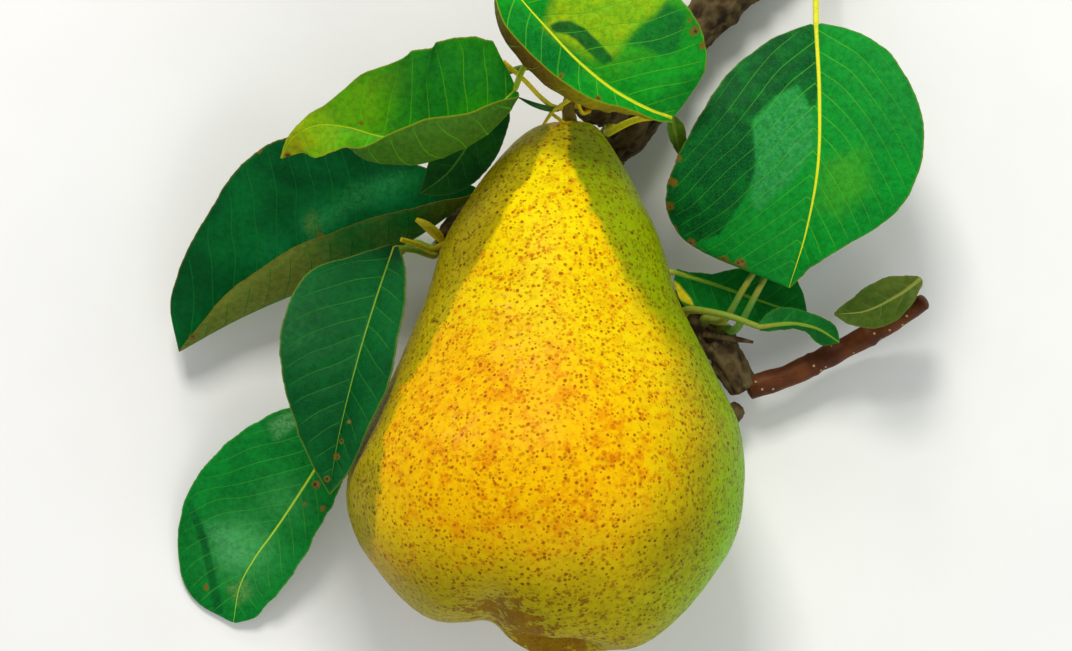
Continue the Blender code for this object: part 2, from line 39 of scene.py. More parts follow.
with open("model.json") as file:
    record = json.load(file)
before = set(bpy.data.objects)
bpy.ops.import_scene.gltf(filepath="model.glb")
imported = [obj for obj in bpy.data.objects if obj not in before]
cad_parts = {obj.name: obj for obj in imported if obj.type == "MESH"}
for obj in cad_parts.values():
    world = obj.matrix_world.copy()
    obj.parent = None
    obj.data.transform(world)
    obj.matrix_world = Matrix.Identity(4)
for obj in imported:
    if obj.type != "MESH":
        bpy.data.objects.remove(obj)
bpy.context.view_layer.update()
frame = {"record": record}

# Camera, straight above the layout's origin, and studio
IMAGE_WIDTH = 1072
CAMERA_HEIGHT = 1.2
FOCUS_HEIGHT = 0.038
PIXEL_AT_FOCUS = 0.0002
SENSOR = 36.0
FLOOR_SIZE = 8.0
WORLD_STRENGTH = 0.42

# The pear, as in the solids
PEAR_TOP = (0.0, 40.9)
PEAR_TIP_UP = math.radians(9.0)
PEAR_OUTLINE = (
    (1.8, 0.0, 7.0), (0.3, 3.0, 6.8), (1.0, 6.2, 6.0), (4.5, 9.9, 4.9), (12.0, 15.1, 4.0),
    (24.0, 21.6, 3.1), (36.0, 25.4, 2.9), (50.0, 31.8, 3.8), (62.0, 37.2, 3.3), (73.0, 39.6, 2.1),
    (84.0, 37.8, 1.8), (94.0, 31.6, 2.3), (102.5, 23.2, 2.6), (106.4, 14.5, 3.0), (103.4, 8.2, 3.0),
    (99.0, 4.8, 3.0), (98.4, 0.0, 3.0),
)
PEAR_DEPTH = 0.98
PEAR_SIDES = 200
PEAR_RINGS = 180
LOBE_START = 74.0
LOBE_FULL = 102.0
LOBE_WAVE = 0.6
LOBE_WAVES = 3
LOBE_TURN = math.radians(20.0)
DENT_DEPTH = 6.2
DENT_PLACES = (-26.0, -22.0, -18.0, -14.0, -10.5, -8.0, -5.0, -1.5, 3.5)
DENT_SHARES = (0.0, 0.2, 0.42, 0.7, 0.93, 0.9, 0.52, 0.24, 0.0)
DENT_RADII = (18.0, 35.0)
SWELL_MIDDLE = Vector((3.0, -18.0, 38.0))

# The flower's dried rest
CALYX_RADIUS = 3.2
CALYX_SEPALS = 5
SEPAL_STEPS = (4, 8)
REST_RINGS = ((-0.3, 1.7), (0.6, 1.8), (1.5, 1.3), (2.0, 0.7))
REST_SIDES = 14

# Limbs: the middle line and the radius at each of its points
CUT_CENTRE = (63.0, 87.0, 5.5)
BRANCH_PATH = (
    CUT_CENTRE, (52.6, 79.4, 5.5), (43.4, 71.4, 5.7), (36.4, 64.6, 6.2), (29.8, 57.6, 6.8),
    (24.8, 50.0, 7.8), (21.4, 43.6, 8.2), (18.6, 39.4, 7.4), (15.0, 36.2, 6.4),
)
BRANCH_RADII = (5.3, 5.2, 5.0, 4.8, 4.6, 4.5, 4.7, 4.6, 4.1)
RIGHT_LIMB_PATH = (
    (14.4, 35.7, 6.25), (11.8, 33.3, 5.6), (10.2, 28.6, 4.9), (11.0, 21.6, 4.4), (14.5, 13.6, 4.2),
    (21.5, 7.0, 4.6), (29.4, 2.6, 6.0), (36.2, -2.8, 7.8), (39.9, -7.8, 8.4), (42.6, -12.9, 8.2),
)
RIGHT_LIMB_RADII = (4.1, 4.0, 3.8, 3.7, 3.6, 3.6, 3.6, 3.5, 3.5, 3.1)
LOWER_STUB_PATH = (
    (36.2, -9.85, 7.6), (35.1, -11.6, 7.0), (34.9, -16.6, 6.0), (38.6, -19.6, 6.2), (41.6, -16.8, 6.8),
)
LOWER_STUB_RADII = (1.7, 1.8, 2.0, 2.2, 1.8)
LEFT_SPUR_PATH = (
    (5.6, 30.4, 5.0), (0.6, 29.6, 4.8), (-6.0, 27.0, 5.2), (-12.6, 23.4, 7.8), (-16.6, 20.0, 12.0),
    (-18.4, 17.2, 16.0),
)
LEFT_SPUR_RADII = (2.8, 2.7, 2.6, 2.6, 2.7, 2.2)
FRUIT_SPUR_PATH = ((16.8, 43.8, 12.6), (14.8, 44.6, 16.2), (12.3, 45.2, 19.9), (9.6, 45.6, 23.4))
FRUIT_SPUR_RADII = (3.2, 4.0, 4.2, 3.3)
SHOOT_PATH = (
    (46.0, -12.1, 8.2), (51.8, -10.3, 7.6), (57.6, -7.5, 7.6), (64.2, -4.1, 8.6), (72.0, 0.2, 11.6),
    (79.0, 4.8, 16.0),
)
SHOOT_RADII = (2.4, 2.35, 2.3, 2.2, 2.0, 1.7)
STALK_PATH = (
    (6.8, 41.5, 28.4), (6.5, 43.3, 29.4), (6.7, 45.2, 28.2), (8.0, 45.9, 25.5), (9.2, 45.75, 23.95),
)
STALK_RADII = (1.5, 1.3, 1.3, 1.6, 2.1)
RINGS_PER_POINT = 3
KNOTS = 0.05
LOWEST = 0.0001
SCAR_REACH = 0.7
CAP_RINGS = ((0.86, 0.25), (0.5, 0.5))
CAP_RISE = 0.6
CAP_SHADE = 0.2
CUT_SIDES = 64
CUT_RINGS = 12

# Blades
BLADE_STATIONS = (0.0, 0.1, 0.25, 0.45, 0.62, 0.78, 0.89, 1.0)
CURL_POWER = 1.5
BLADE_THICKNESS = 0.32
MARGIN_THICKNESS = 0.2
BLADE_RING_STEP = 0.62
BLADE_COLUMNS = 20
PETIOLE_RISE = 2.0
PETIOLE_SIDES = 12
PETIOLE_RING_STEP = 0.6
PETIOLE_RADII = (1.25, 0.85, 0.7, 0.65, 0.62)
MIDRIB_RADII = (0.62, 0.46, 0.36, 0.27, 0.19, 0.08)
RIB_WIDTHS = (0.75, 0.62, 0.5, 0.4, 0.26, 0.1)
RIB_SIZE = 0.85
RIB_RING_STEP = 1.2
FOOT_STEPS = 60
FOOT_DEPTH = 0.8
FAR_FROM_FOOT = 9.0
VEIN_SPACING = 4.6
VEIN_SLANT = 0.8
VEIN_SWEEP = 0.007
PUCKER = 0.2
MARGIN_WAVE = 0.35
MARGIN_WAVE_LENGTH = 17.0

# Each leaf, close to the solids': its foot's limb, place along it and direction, the
# petiole's further points, the midrib's points, then widths, folds and curls of its left
# and right halves, as seen from above on the way from the foot to the tip.
LEAVES = {
    "leaf_left_long": {
        "foot": ("left_spur", 0.36, (-0.1, 0.5, 0.9)), "petiole": ((-6.2, 29.6, 11.6),),
        "midrib": (
            (-11.8, 27.4, 13.8), (-24.0, 18.6, 13.2), (-36.0, 12.2, 11.8), (-48.4, 7.0, 10.0),
            (-60.4, 1.7, 8.4), (-73.3, -5.3, 7.0),
        ),
        "stations": (0.0, 0.1, 0.25, 0.45, 0.62, 0.78, 0.89, 0.96, 1.0),
        "left": (1.2, 6.0, 11.4, 14.0, 12.8, 9.4, 6.0, 3.2, 0.2),
        "right": (1.2, 12.4, 24.7, 30.6, 28.3, 20.4, 14.0, 8.4, 0.2),
        "left_fold": (70.0, 100.0, 108.0, 110.0, 110.0, 108.0, 100.0, 84.0), "left_curl": 46.0,
        "right_fold": 14.0, "right_curl": -6.0,
    },
    "leaf_upper_left": {
        "foot": ("fruit_spur", 0.84, (0.75, -0.25, 0.6)),
        "petiole": ((12.6, 45.6, 28.6), (8.6, 49.8, 32.4), (3.0, 53.0, 36.4), (-1.8, 52.2, 39.2)),
        "midrib": (
            (-4.4, 46.8, 40.2), (-9.6, 42.2, 42.0), (-16.4, 39.0, 43.6), (-24.0, 37.0, 44.8),
            (-31.0, 37.6, 45.4), (-37.5, 39.4, 45.4), (-43.6, 39.8, 44.6), (-48.4, 37.4, 43.4),
            (-50.8, 33.4, 41.6),
        ),
        "stations": (0.0, 0.1, 0.18, 0.25, 0.35, 0.45, 0.58, 0.66, 0.72, 0.78, 0.89, 1.0),
        "left": (1.2, 11.0, 16.0, 19.4, 22.5, 24.0, 19.6, 8.0, 6.1, 6.3, 5.5, 0.2),
        "right": (1.2, 12.4, 16.0, 18.2, 19.2, 19.5, 17.8, 13.0, 7.8, 3.6, 1.2, 0.2), "right_fan": 48.0,
        "left_fold": (20.0, 20.0, 16.0, 12.0, 10.0, 2.0, 0.0, 0.0),
        "left_curl": (60.0, 122.0, 137.0, 150.0, 110.0, 14.0, 0.0, 0.0), "left_power": 0.75,
        "right_fold": 10.0, "right_curl": 6.0, "fan": 22.0,
    },
    "leaf_behind_upper_left": {
        "foot": ("fruit_spur", 0.66, (-0.45, 0.8, 0.35)),
        "petiole": ((5.6, 51.0, 26.6), (-1.4, 52.0, 30.4)),
        "midrib": (
            (-7.0, 50.6, 32.0), (-9.8, 44.6, 31.8), (-13.0, 37.6, 30.6), (-17.6, 31.0, 28.2),
            (-23.4, 26.6, 25.6),
        ),
        "left": (0.8, 3.2, 5.4, 6.2, 5.8, 4.4, 2.6, 0.2), "right": (0.8, 4.0, 7.0, 8.0, 7.0, 4.6, 2.6, 0.2),
        "left_fold": 8.0, "right_fold": 8.0,
    },
    "leaf_hanging": {
        "foot": ("left_spur", 0.95, (-0.55, -0.7, 0.45)),
        "petiole": ((-20.8, 14.2, 20.0), (-24.4, 15.2, 28.6)),
        "midrib": (
            (-28.6, 15.6, 32.6), (-32.2, 4.4, 39.4), (-35.3, -6.3, 44.4), (-38.4, -18.7, 46.6),
            (-40.0, -26.7, 46.4), (-41.0, -33.5, 44.8),
        ),
        "left": (1.2, 4.4, 7.0, 9.2, 10.0, 8.0, 4.8, 0.2),
        "right": (1.2, 6.2, 14.4, 16.7, 14.0, 8.8, 4.6, 0.2),
        "left_fold": (42.0, 42.0, 42.0, 44.0, 50.0, 54.0, 54.0, 54.0), "left_curl": -10.0,
        "right_fold": 4.0, "right_curl": -10.0, "fan": 20.0,
    },
    "leaf_lower_left": {
        "foot": ("left_spur", 0.62, (-0.8, -0.5, -0.5)),
        "petiole": ((-20.8, 16.2, 5.8), (-25.4, 16.8, 6.8), (-30.2, 11.6, 7.8), (-33.6, -1.0, 9.8)),
        "midrib": (
            (-38.8, -18.4, 11.4), (-43.8, -27.1, 10.6), (-48.9, -35.1, 9.2), (-53.5, -41.9, 7.4),
            (-57.8, -47.8, 5.6), (-61.0, -53.8, 3.6), (-62.4, -61.2, 1.5),
        ),
        "stations": (0.0, 0.1, 0.25, 0.45, 0.62, 0.78, 0.89, 0.96, 1.0),
        "left": (1.2, 3.8, 6.4, 7.5, 8.4, 8.1, 6.4, 4.4, 0.6),
        "right": (1.2, 10.0, 15.4, 19.0, 19.6, 16.6, 11.5, 6.9, 0.6), "fan": 12.0, "left_fold": 12.0,
        "right_fold": -4.0, "right_curl": -11.0,
    },
    "leaf_top": {
        "foot": ("fruit_spur", 0.45, (0.1, -0.85, 0.5)),
        "petiole": ((14.8, 39.2, 23.6), (20.0, 41.4, 29.6), (25.6, 42.0, 33.6)),
        "midrib": (
            (26.8, 41.6, 38.4), (21.4, 43.6, 41.8), (14.8, 47.3, 43.6), (7.8, 53.1, 44.8),
            (1.8, 59.5, 45.0), (-2.2, 64.0, 44.6), (-6.4, 69.4, 43.4),
        ),
        "left": (1.2, 3.4, 8.2, 17.0, 21.0, 18.4, 11.6, 0.2),
        "right": (1.2, 11.2, 19.6, 23.6, 23.2, 17.6, 10.6, 0.2), "left_fold": 25.0,
        "left_curl": (20.0, 84.0, 114.0, 116.0, 112.0, 108.0, 100.0, 60.0), "right_fold": 14.0,
        "right_curl": -6.0, "fan": 44.0,
    },
    "leaf_right": {
        "foot": ("branch", 0.1, (0.02, -0.3, 1.0)), "petiole": ((57.0, 74.0, 16.4),),
        "midrib": (
            (56.8, 60.7, 22.0), (57.2, 46.0, 27.6), (56.8, 32.1, 29.4), (54.6, 19.1, 26.4),
            (51.4, 7.7, 20.6),
        ),
        "stations": (0.0, 0.1, 0.25, 0.45, 0.62, 0.78, 0.89, 0.955, 1.0),
        "left": (1.2, 9.0, 17.0, 21.6, 18.4, 8.4, 3.0, 1.4, 0.2),
        "right": (1.2, 9.2, 18.3, 25.4, 28.9, 29.2, 26.2, 19.0, 0.2), "left_fold": 20.0, "left_curl": -10.0,
        "right_fold": 8.0, "right_curl": -14.0, "fan": 24.0,
    },
    "leaf_small_olive": {
        "foot": ("branch", 0.7, (0.75, 0.1, 0.7)), "petiole": ((28.0, 46.4, 17.0), (27.6, 44.4, 24.0)),
        "midrib": ((27.4, 42.0, 28.0), (28.2, 38.6, 28.0), (29.0, 34.6, 26.0)),
        "left": (0.8, 1.3, 1.8, 2.0, 1.8, 1.4, 0.9, 0.2), "right": (0.8, 1.2, 1.6, 1.6, 1.4, 1.0, 0.6, 0.2),
        "left_fold": 12.0, "right_fold": 12.0,
    },
    "leaf_shaded_inner": {
        "foot": ("right_limb", 0.62, (-0.2, 0.6, 0.8)), "petiole": ((25.0, 11.0, 11.6),),
        "midrib": (
            (28.6, 10.8, 12.6), (36.4, 8.4, 13.2), (44.2, 5.6, 13.2), (50.6, 3.4, 12.8), (55.6, 1.6, 11.6),
        ),
        "left": (0.8, 1.0, 2.0, 5.4, 7.6, 7.4, 5.0, 0.2), "right": (2.0, 5.4, 6.0, 5.6, 5.4, 4.2, 2.6, 0.2),
        "left_fold": -8.0, "right_fold": -4.0,
    },
    "leaf_shaded_outer": {
        "foot": ("right_limb", 0.7, (-0.2, 0.3, 1.0)), "petiole": ((32.4, 3.2, 15.2), (39.0, 2.0, 18.6)),
        "midrib": ((45.4, -0.3, 19.2), (52.0, 0.4, 18.8), (57.4, -0.7, 17.6), (61.8, -3.4, 15.8)),
        "left": (0.8, 2.4, 3.4, 3.0, 2.6, 2.4, 2.0, 0.2), "right": (0.8, 1.2, 1.3, 1.4, 2.0, 3.0, 2.6, 0.2),
        "left_fold": -8.0, "right_fold": -30.0,
    },
    "leaf_shaded_back": {
        "foot": ("right_limb", 0.765, (0.45, 0.2, 0.85)), "petiole": ((38.4, 1.2, 15.2), (42.0, 7.2, 18.6)),
        "midrib": ((45.4, 12.6, 20.0), (46.2, 19.0, 20.6), (45.0, 26.4, 20.4), (42.6, 34.0, 19.4)),
        "left": (0.8, 4.2, 6.0, 6.8, 6.2, 4.6, 2.8, 0.2), "right": (0.8, 1.8, 3.4, 5.6, 6.2, 4.8, 3.0, 0.2),
        "left_fold": 4.0, "right_fold": 4.0, "fan": 20.0,
    },
    "leaf_under_right": {
        "foot": ("right_limb", 0.815, (0.5, 0.4, 0.7)), "petiole": ((40.9, -0.6, 14.4), (44.9, 6.6, 18.2)),
        "midrib": ((48.6, 13.6, 18.2), (53.6, 18.4, 18.2), (59.4, 21.2, 17.2), (65.6, 21.8, 15.2)),
        "left": (0.8, 2.8, 6.0, 8.0, 7.4, 5.0, 3.0, 0.2), "right": (0.8, 1.2, 1.9, 2.9, 3.4, 3.0, 2.0, 0.2),
        "left_fold": 4.0, "left_curl": -14.0, "right_fold": -4.0, "right_curl": -14.0,
    },
    "leaf_on_shoot": {
        "foot": ("right_shoot", 0.86, (-0.2, 0.75, 0.62)), "petiole": ((77.4, 7.6, 20.0),),
        "midrib": ((77.8, 9.4, 23.0), (73.4, 6.2, 23.2), (67.0, 3.0, 21.4), (60.6, 2.3, 19.6)),
        "left": (0.8, 2.0, 3.6, 4.4, 4.0, 2.8, 1.8, 0.2), "right": (0.8, 2.4, 4.2, 5.0, 4.6, 3.2, 2.0, 0.2),
        "left_fold": 14.0, "right_fold": 20.0,
    },
}

# What each leaf's upper and lower sides look like, in colours from 0 to 255. In the layout, seen from above,
# spots are (x, y, radius) of rust, sun and tan are (x, y, radius, weight) of the shine, painted sunlight and
# highlight, and of under_tan, and patches are mostly painted shadow, painted sunlight and painted
# highlights: colour, soft edge in millimetres, share, whether it is grainy, and outline.
LEAF_LOOKS = {
    "leaf_left_long": {
        "upper": (1, 76, 30), "fresh": (2, 104, 42), "under": (124, 138, 50), "under_tan": (26, 134, 56),
        "tan": ((-36.0, 18.0, 8.0, 1.0), (-27.0, 21.0, 8.0, 1.0)), "rib": (70, 140, 40),
        "edge": (120, 100, 20), "shine": (20, 134, 66), "slant": -0.6,
        "spots": ((-44.2, 18.9, 0.6), (-70.4, -2.4, 0.6), (-56.4, 35.6, 0.5)),
        "patches": (
            (
                (0, 58, 26), 1.6, 0.6, 0,
                (
                    (-58.4, 32.8), (-50.2, 27.3), (-42.1, 27.7), (-33.9, 29.3), (-26.7, 31.3),
                    (-22.0, 32.2), (-21.6, 37.9), (-35.9, 37.9), (-52.3, 39.9),
                ),
            ),
            (
                (0, 62, 28), 2.0, 0.45, 0,
                (
                    (-79.1, -5.0), (-77.0, 11.4), (-71.9, 24.7), (-63.7, 31.8), (-60.6, 27.8),
                    (-68.8, 13.4), (-70.9, -0.9), (-73.9, -7.1),
                ),
            ),
            (
                (52, 148, 82), 2.0, 0.6, 1,
                (
                    (-48.1, 20.3), (-42.0, 24.6), (-37.5, 28.4), (-32.8, 30.1), (-27.3, 31.3),
                    (-24.5, 29.7), (-30.8, 26.4), (-37.9, 23.1), (-44.4, 19.1),
                ),
            ),
            ((130, 140, 52), 1.2, 0.5, 1, ((-47.4, 20.7), (-45.7, 23.6), (-43.7, 19.9), (-45.7, 17.9))),
        ),
        "sun": ((-53.0, 14.4, 5.0, 0.7), (-44.0, 20.4, 5.0, 0.8), (-30.0, 26.6, 5.0, 0.9)),
    },
    "leaf_upper_left": {
        "upper": (16, 118, 28), "fresh": (46, 164, 14), "shine": (150, 184, 10), "under": (66, 108, 28),
        "slant": 0.1, "rib": (170, 196, 30), "rib_size": 0.5, "edge": (150, 150, 20),
        "patches": (
            (
                (150, 128, 8), 1.6, 0.7, 0,
                ((-51.8, 32.6), (-50.2, 37.3), (-47.0, 39.3), (-44.6, 36.5), (-47.0, 33.0)),
            ),
            (
                (14, 122, 36), 3.0, 0.7, 0,
                (
                    (-29.4, 38.9), (-27.1, 45.7), (-22.1, 53.2), (-13.1, 55.2), (-7.2, 52.8), (-4.8, 45.9),
                    (-11.1, 45.9), (-17.1, 42.9), (-20.1, 39.3),
                ),
            ),
        ),
        "spots": ((-34.8, 40.3, 0.4), (-19.8, 38.0, 0.4), (-49.5, 33.8, 0.7), (-44.0, 44.0, 0.5)),
        "sun": ((-46.0, 38.0, 9.0, 0.9), (-36.0, 44.0, 9.0, 0.5)),
    },
    # A darker green: its own green with the shade that it lies in, behind leaf_upper_left, painted into it.
    "leaf_behind_upper_left": {
        "upper": (8, 72, 22), "fresh": (30, 100, 26), "under": (60, 96, 34), "rib": (80, 130, 40),
        "edge": (70, 96, 26), "spots": (),
    },
    "leaf_hanging": {
        "upper": (2, 74, 30), "fresh": (5, 96, 38), "under": (60, 104, 36), "rib": (120, 160, 44),
        "rib_size": 0.5, "edge": (110, 130, 30), "stem": (190, 190, 40),
        "spots": ((-39.6, -26.0, 0.6), (-37.0, -19.0, 0.4), (-41.5, -30.5, 0.5), (-38.6, -23.0, 0.4)),
        "sun": ((-38.0, -6.0, 8.0, 0.5),),
    },
    "leaf_lower_left": {
        "upper": (2, 112, 38), "fresh": (6, 134, 46), "under": (70, 120, 40), "rib": (170, 205, 50),
        "edge": (70, 150, 40), "shine": (74, 172, 92), "slant": 1.1, "rib_size": 0.6,
        "spots": ((-45.0, -32.6, 0.7), (-43.6, -37.4, 0.5), (-47.4, -36.6, 0.4), (-68.0, -54.0, 0.5)),
        "patches": (
            (
                (0, 70, 34), 0.4, 0.75, 0,
                (
                    (-72.1, -35.5), (-70.9, -35.9), (-67.8, -43.5), (-66.0, -51.3), (-64.5, -59.3),
                    (-66.2, -59.7), (-67.6, -51.9), (-69.1, -44.9),
                ),
            ),
            (
                (84, 170, 106), 1.6, 0.8, 1,
                (
                    (-67.7, -40.7), (-62.4, -41.5), (-59.5, -45.0), (-60.7, -49.3), (-64.4, -49.3),
                    (-66.1, -45.6),
                ),
            ),
            ((120, 160, 90), 1.0, 0.7, 1, ((-63.7, -53.9), (-59.6, -52.3), (-58.4, -55.6), (-61.7, -57.6))),
            (
                (110, 170, 110), 1.0, 0.7, 1,
                ((-54.9, -20.2), (-50.4, -17.3), (-48.7, -20.2), (-53.3, -23.5)),
            ),
        ),
        "sun": ((-60.0, -46.0, 6.0, 1.0), (-52.0, -36.0, 5.0, 0.4)),
    },
    "leaf_top": {
        "upper": (2, 138, 36), "fresh": (20, 164, 36), "under": (96, 64, 22), "under_tan": (158, 146, 18),
        "tan": ((13.0, 46.4, 8.0, 1.0), (21.0, 43.4, 7.0, 1.0)), "stem": (238, 214, 24),
        "rib": (222, 228, 36), "edge": (140, 160, 20), "shine": (196, 216, 14),
        "spots": (
            (31.4, 58.6, 0.9), (33.2, 55.6, 0.7), (30.6, 60.6, 0.5), (5.0, 49.6, 0.6), (12.4, 45.2, 0.5),
        ),
        "slant": -0.6,
        "patches": (
            (
                (186, 212, 14), 1.6, 0.9, 0,
                (
                    (1.8, 59.2), (4.8, 68.7), (16.7, 70.7), (27.1, 66.8), (23.7, 62.0), (20.3, 59.2),
                    (17.1, 55.6), (14.7, 52.8), (10.7, 53.2), (6.8, 55.6), (4.0, 57.2),
                ),
            ),
            (
                (90, 180, 20), 2.5, 0.6, 1,
                ((4.8, 68.7), (28.7, 68.7), (30.6, 60.8), (22.7, 52.8), (12.7, 48.1), (8.8, 52.4)),
            ),
            (
                (2, 88, 40), 0.4, 0.95, 0,
                (
                    (2.2, 59.4), (4.4, 60.5), (6.8, 60.5), (9.6, 59.1), (12.3, 56.5), (15.8, 52.6),
                    (13.2, 51.8), (10.2, 54.5), (8.0, 56.7), (6.0, 57.9), (3.6, 58.2),
                ),
            ),
            (
                (2, 104, 44), 0.8, 0.85, 0,
                (
                    (17.7, 55.8), (20.5, 59.2), (23.9, 61.6), (25.9, 64.0), (29.8, 62.0), (29.0, 58.4),
                    (28.1, 54.4), (25.1, 53.4), (21.7, 55.2),
                ),
            ),
            (
                (1, 104, 40), 1.5, 0.7, 0,
                (
                    (-7.0, 60.8), (-5.6, 64.0), (-2.8, 63.6), (1.2, 58.8), (4.0, 57.2), (9.6, 51.6),
                    (5.8, 49.2), (-2.2, 51.2), (-5.6, 54.8),
                ),
            ),
        ),
    },
    "leaf_right": {
        "slant": 1.15, "upper": (2, 132, 42), "fresh": (6, 150, 44), "under": (80, 130, 50),
        "rib": (222, 224, 40), "edge": (110, 130, 30), "shine": (84, 176, 40),
        "spots": (
            (27.2, 29.0, 0.9), (26.6, 24.0, 1.0), (27.6, 19.6, 0.8), (31.4, 16.4, 0.9), (33.4, 15.0, 0.6),
            (38.0, 13.0, 0.9), (41.4, 12.6, 0.8), (31.6, 44.4, 1.0), (28.6, 33.6, 0.7), (34.4, 46.6, 0.7),
            (29.6, 40.2, 0.8), (28.8, 37.0, 0.6),
        ),
        "patches": (
            (
                (10, 150, 44), 2.0, 0.7, 0,
                (
                    (56.4, 41.5), (65.5, 39.5), (67.1, 27.4), (61.0, 20.3), (51.3, 12.8), (40.2, 16.3),
                    (37.6, 18.9), (44.5, 22.9), (51.7, 29.4),
                ),
            ),
            (
                (72, 168, 36), 3.0, 0.6, 0,
                ((57.4, 32.4), (65.9, 35.5), (67.1, 27.4), (60.6, 22.3), (57.0, 24.3)),
            ),
            (
                (0, 74, 32), 0.4, 0.95, 0,
                (
                    (37.2, 18.5), (42.3, 26.0), (44.1, 31.0), (44.1, 35.3), (43.5, 41.4), (48.3, 46.4),
                    (52.8, 48.6), (56.0, 43.2), (57.0, 47.4), (57.0, 63.8), (41.3, 63.8), (25.1, 47.6),
                    (21.0, 27.4), (29.1, 15.3),
                ),
            ),
            (
                (72, 164, 100), 0.9, 0.6, 1,
                (
                    (44.2, 31.0), (44.2, 35.2), (43.6, 41.3), (48.5, 46.1), (52.7, 48.4), (55.7, 43.1),
                    (56.1, 35.4), (51.3, 29.0), (44.6, 22.9), (42.8, 25.7),
                ),
            ),
        ),
    },
    "leaf_small_olive": {
        "upper": (76, 118, 22), "fresh": (104, 132, 30), "under": (110, 130, 50), "rib": (120, 140, 40),
        "edge": (110, 120, 40), "spots": (),
    },
    # The next four leaves lie low in the shade on the pear's right: darker greens and mostly duller stems,
    # their own colours with that shade painted into them.
    "leaf_shaded_inner": {
        "upper": (2, 96, 28), "fresh": (6, 122, 32), "under": (60, 120, 40), "rib": (110, 160, 40),
        "edge": (60, 120, 30), "stem": (190, 190, 50), "shine": (224, 216, 30), "spots": (),
        "patches": (
            (
                (236, 214, 30), 0.3, 0.95, 0,
                ((26.9, 10.0), (29.1, 8.6), (31.7, 5.4), (32.2, 4.0), (28.4, 5.6)),
            ),
        ),
    },
    "leaf_shaded_outer": {
        "upper": (8, 92, 30), "fresh": (20, 116, 34), "under": (70, 120, 40), "rib": (120, 150, 40),
        "edge": (60, 110, 30), "stem": (150, 140, 46), "spots": (),
    },
    "leaf_shaded_back": {
        "upper": (6, 100, 30), "fresh": (20, 122, 34), "under": (70, 120, 40), "rib": (90, 140, 50),
        "edge": (60, 110, 30), "stem": (150, 140, 46), "spots": (),
    },
    "leaf_under_right": {
        "upper": (6, 92, 32), "fresh": (16, 108, 34), "under": (70, 120, 40), "rib": (90, 140, 50),
        "edge": (60, 110, 30), "stem": (150, 140, 46), "spots": (),
    },
    "leaf_on_shoot": {
        "upper": (66, 92, 26), "fresh": (92, 106, 34), "under": (100, 120, 50), "rib": (130, 140, 60),
        "edge": (90, 100, 40), "spots": (),
    },
}


def point(place):
    """A layout place in millimetres as a point in metres."""
    return Vector(place) * MM


SHIFT = point(CUT_CENTRE) - Vector(frame["record"]["mounts"][0]["pos_m"])
SHIFT.z = 0.0


def on_curve(points, t):
    """The point at t, from 0 to 1, on a smooth curve that passes through the points."""
    last = len(points) - 1
    span = min(int(t * last), last - 1)
    u = t * last - span
    b, c = points[span], points[span + 1]
    a = points[span - 1] if span > 0 else b * 2.0 - c
    d = points[span + 2] if span + 2 <= last else c * 2.0 - b
    return 0.5 * (
        b * 2.0
        + (c - a) * u
        + (a * 2.0 - b * 5.0 + c * 4.0 - d) * u**2
        + (b * 3.0 - a - c * 3.0 + d) * u**3
    )


def even_places(points, shares, samples=400):
    """Points of the smooth curve at the given rising shares of its length."""
    fine = [on_curve(points, k / samples) for k in range(samples + 1)]
    run = [0.0]
    for a, b in zip(fine, fine[1:]):
        run.append(run[-1] + (b - a).length)
    places = []
    k = 0
    for share in shares:
        goal = share * run[-1]
        while k < samples - 1 and run[k + 1] < goal:
            k += 1
        part = (goal - run[k]) / max(run[k + 1] - run[k], 1e-12)
        places.append(fine[k].lerp(fine[k + 1], part))
    return places


def length_of(points, samples=200):
    """The length of the smooth curve."""
    fine = [on_curve(points, k / samples) for k in range(samples + 1)]
    return sum((b - a).length for a, b in zip(fine, fine[1:]))


def between(stations, values, t):
    """A smooth value at t, from values at rising stations. A single value holds all over."""
    if isinstance(values, float):
        return values
    k = 0
    while k < len(stations) - 2 and t > stations[k + 1]:
        k += 1
    slopes = []
    for i in (k, k + 1):
        lo, hi = max(i - 1, 0), min(i + 1, len(values) - 1)
        slopes.append((values[hi] - values[lo]) / (stations[hi] - stations[lo]))
    width = stations[k + 1] - stations[k]
    u = (t - stations[k]) / width
    start = (2 * u**3 - 3 * u**2 + 1) * values[k] + (u**3 - 2 * u**2 + u) * slopes[0] * width
    end = (3 * u**2 - 2 * u**3) * values[k + 1] + (u**3 - u**2) * slopes[1] * width
    return start + end


def along_values(values, t):
    """A smooth value at t from values at even stations."""
    return between([k / (len(values) - 1) for k in range(len(values))], values, t)


def directions(places):
    """The direction of travel at each place of a line."""
    ways = []
    for k in range(len(places)):
        ways.append((places[min(k + 1, len(places) - 1)] - places[max(k - 1, 0)]).normalized())
    return ways


def carried(side, way):
    """A sideways direction turned as little as it takes to be square to a new way."""
    return (side - way * side.dot(way)).normalized()


def clamp(value, low=0.0, high=1.0):
    """The value kept between two limits."""
    return min(max(value, low), high)


def smooth(value):
    """A share from 0 to 1 with soft ends."""
    value = clamp(value)
    return value * value * (3.0 - 2.0 * value)


def seed_of(name):
    """A number that belongs to a name."""
    return sum(ord(letter) for letter in name)


def sampled(points, step, least=8):
    """Even places of the smooth curve, about a step in millimetres apart, and their shares."""
    count = max(int(length_of(points) / (step * MM)), least)
    shares = [k / count for k in range(count + 1)]
    return even_places(points, shares), shares


def spoke(side, across, n, sides):
    """The direction of point n of a ring."""
    angle = TURN * n / sides
    return side * math.cos(angle) + across * math.sin(angle)


# Materials


def linear(colour):
    """A colour of 0 to 255 as the shader's linear values."""
    values = []
    for part in colour:
        part /= 255.0
        values.append(part / 12.92 if part <= 0.04045 else ((part + 0.055) / 1.055) ** 2.4)
    return (*values, 1.0)


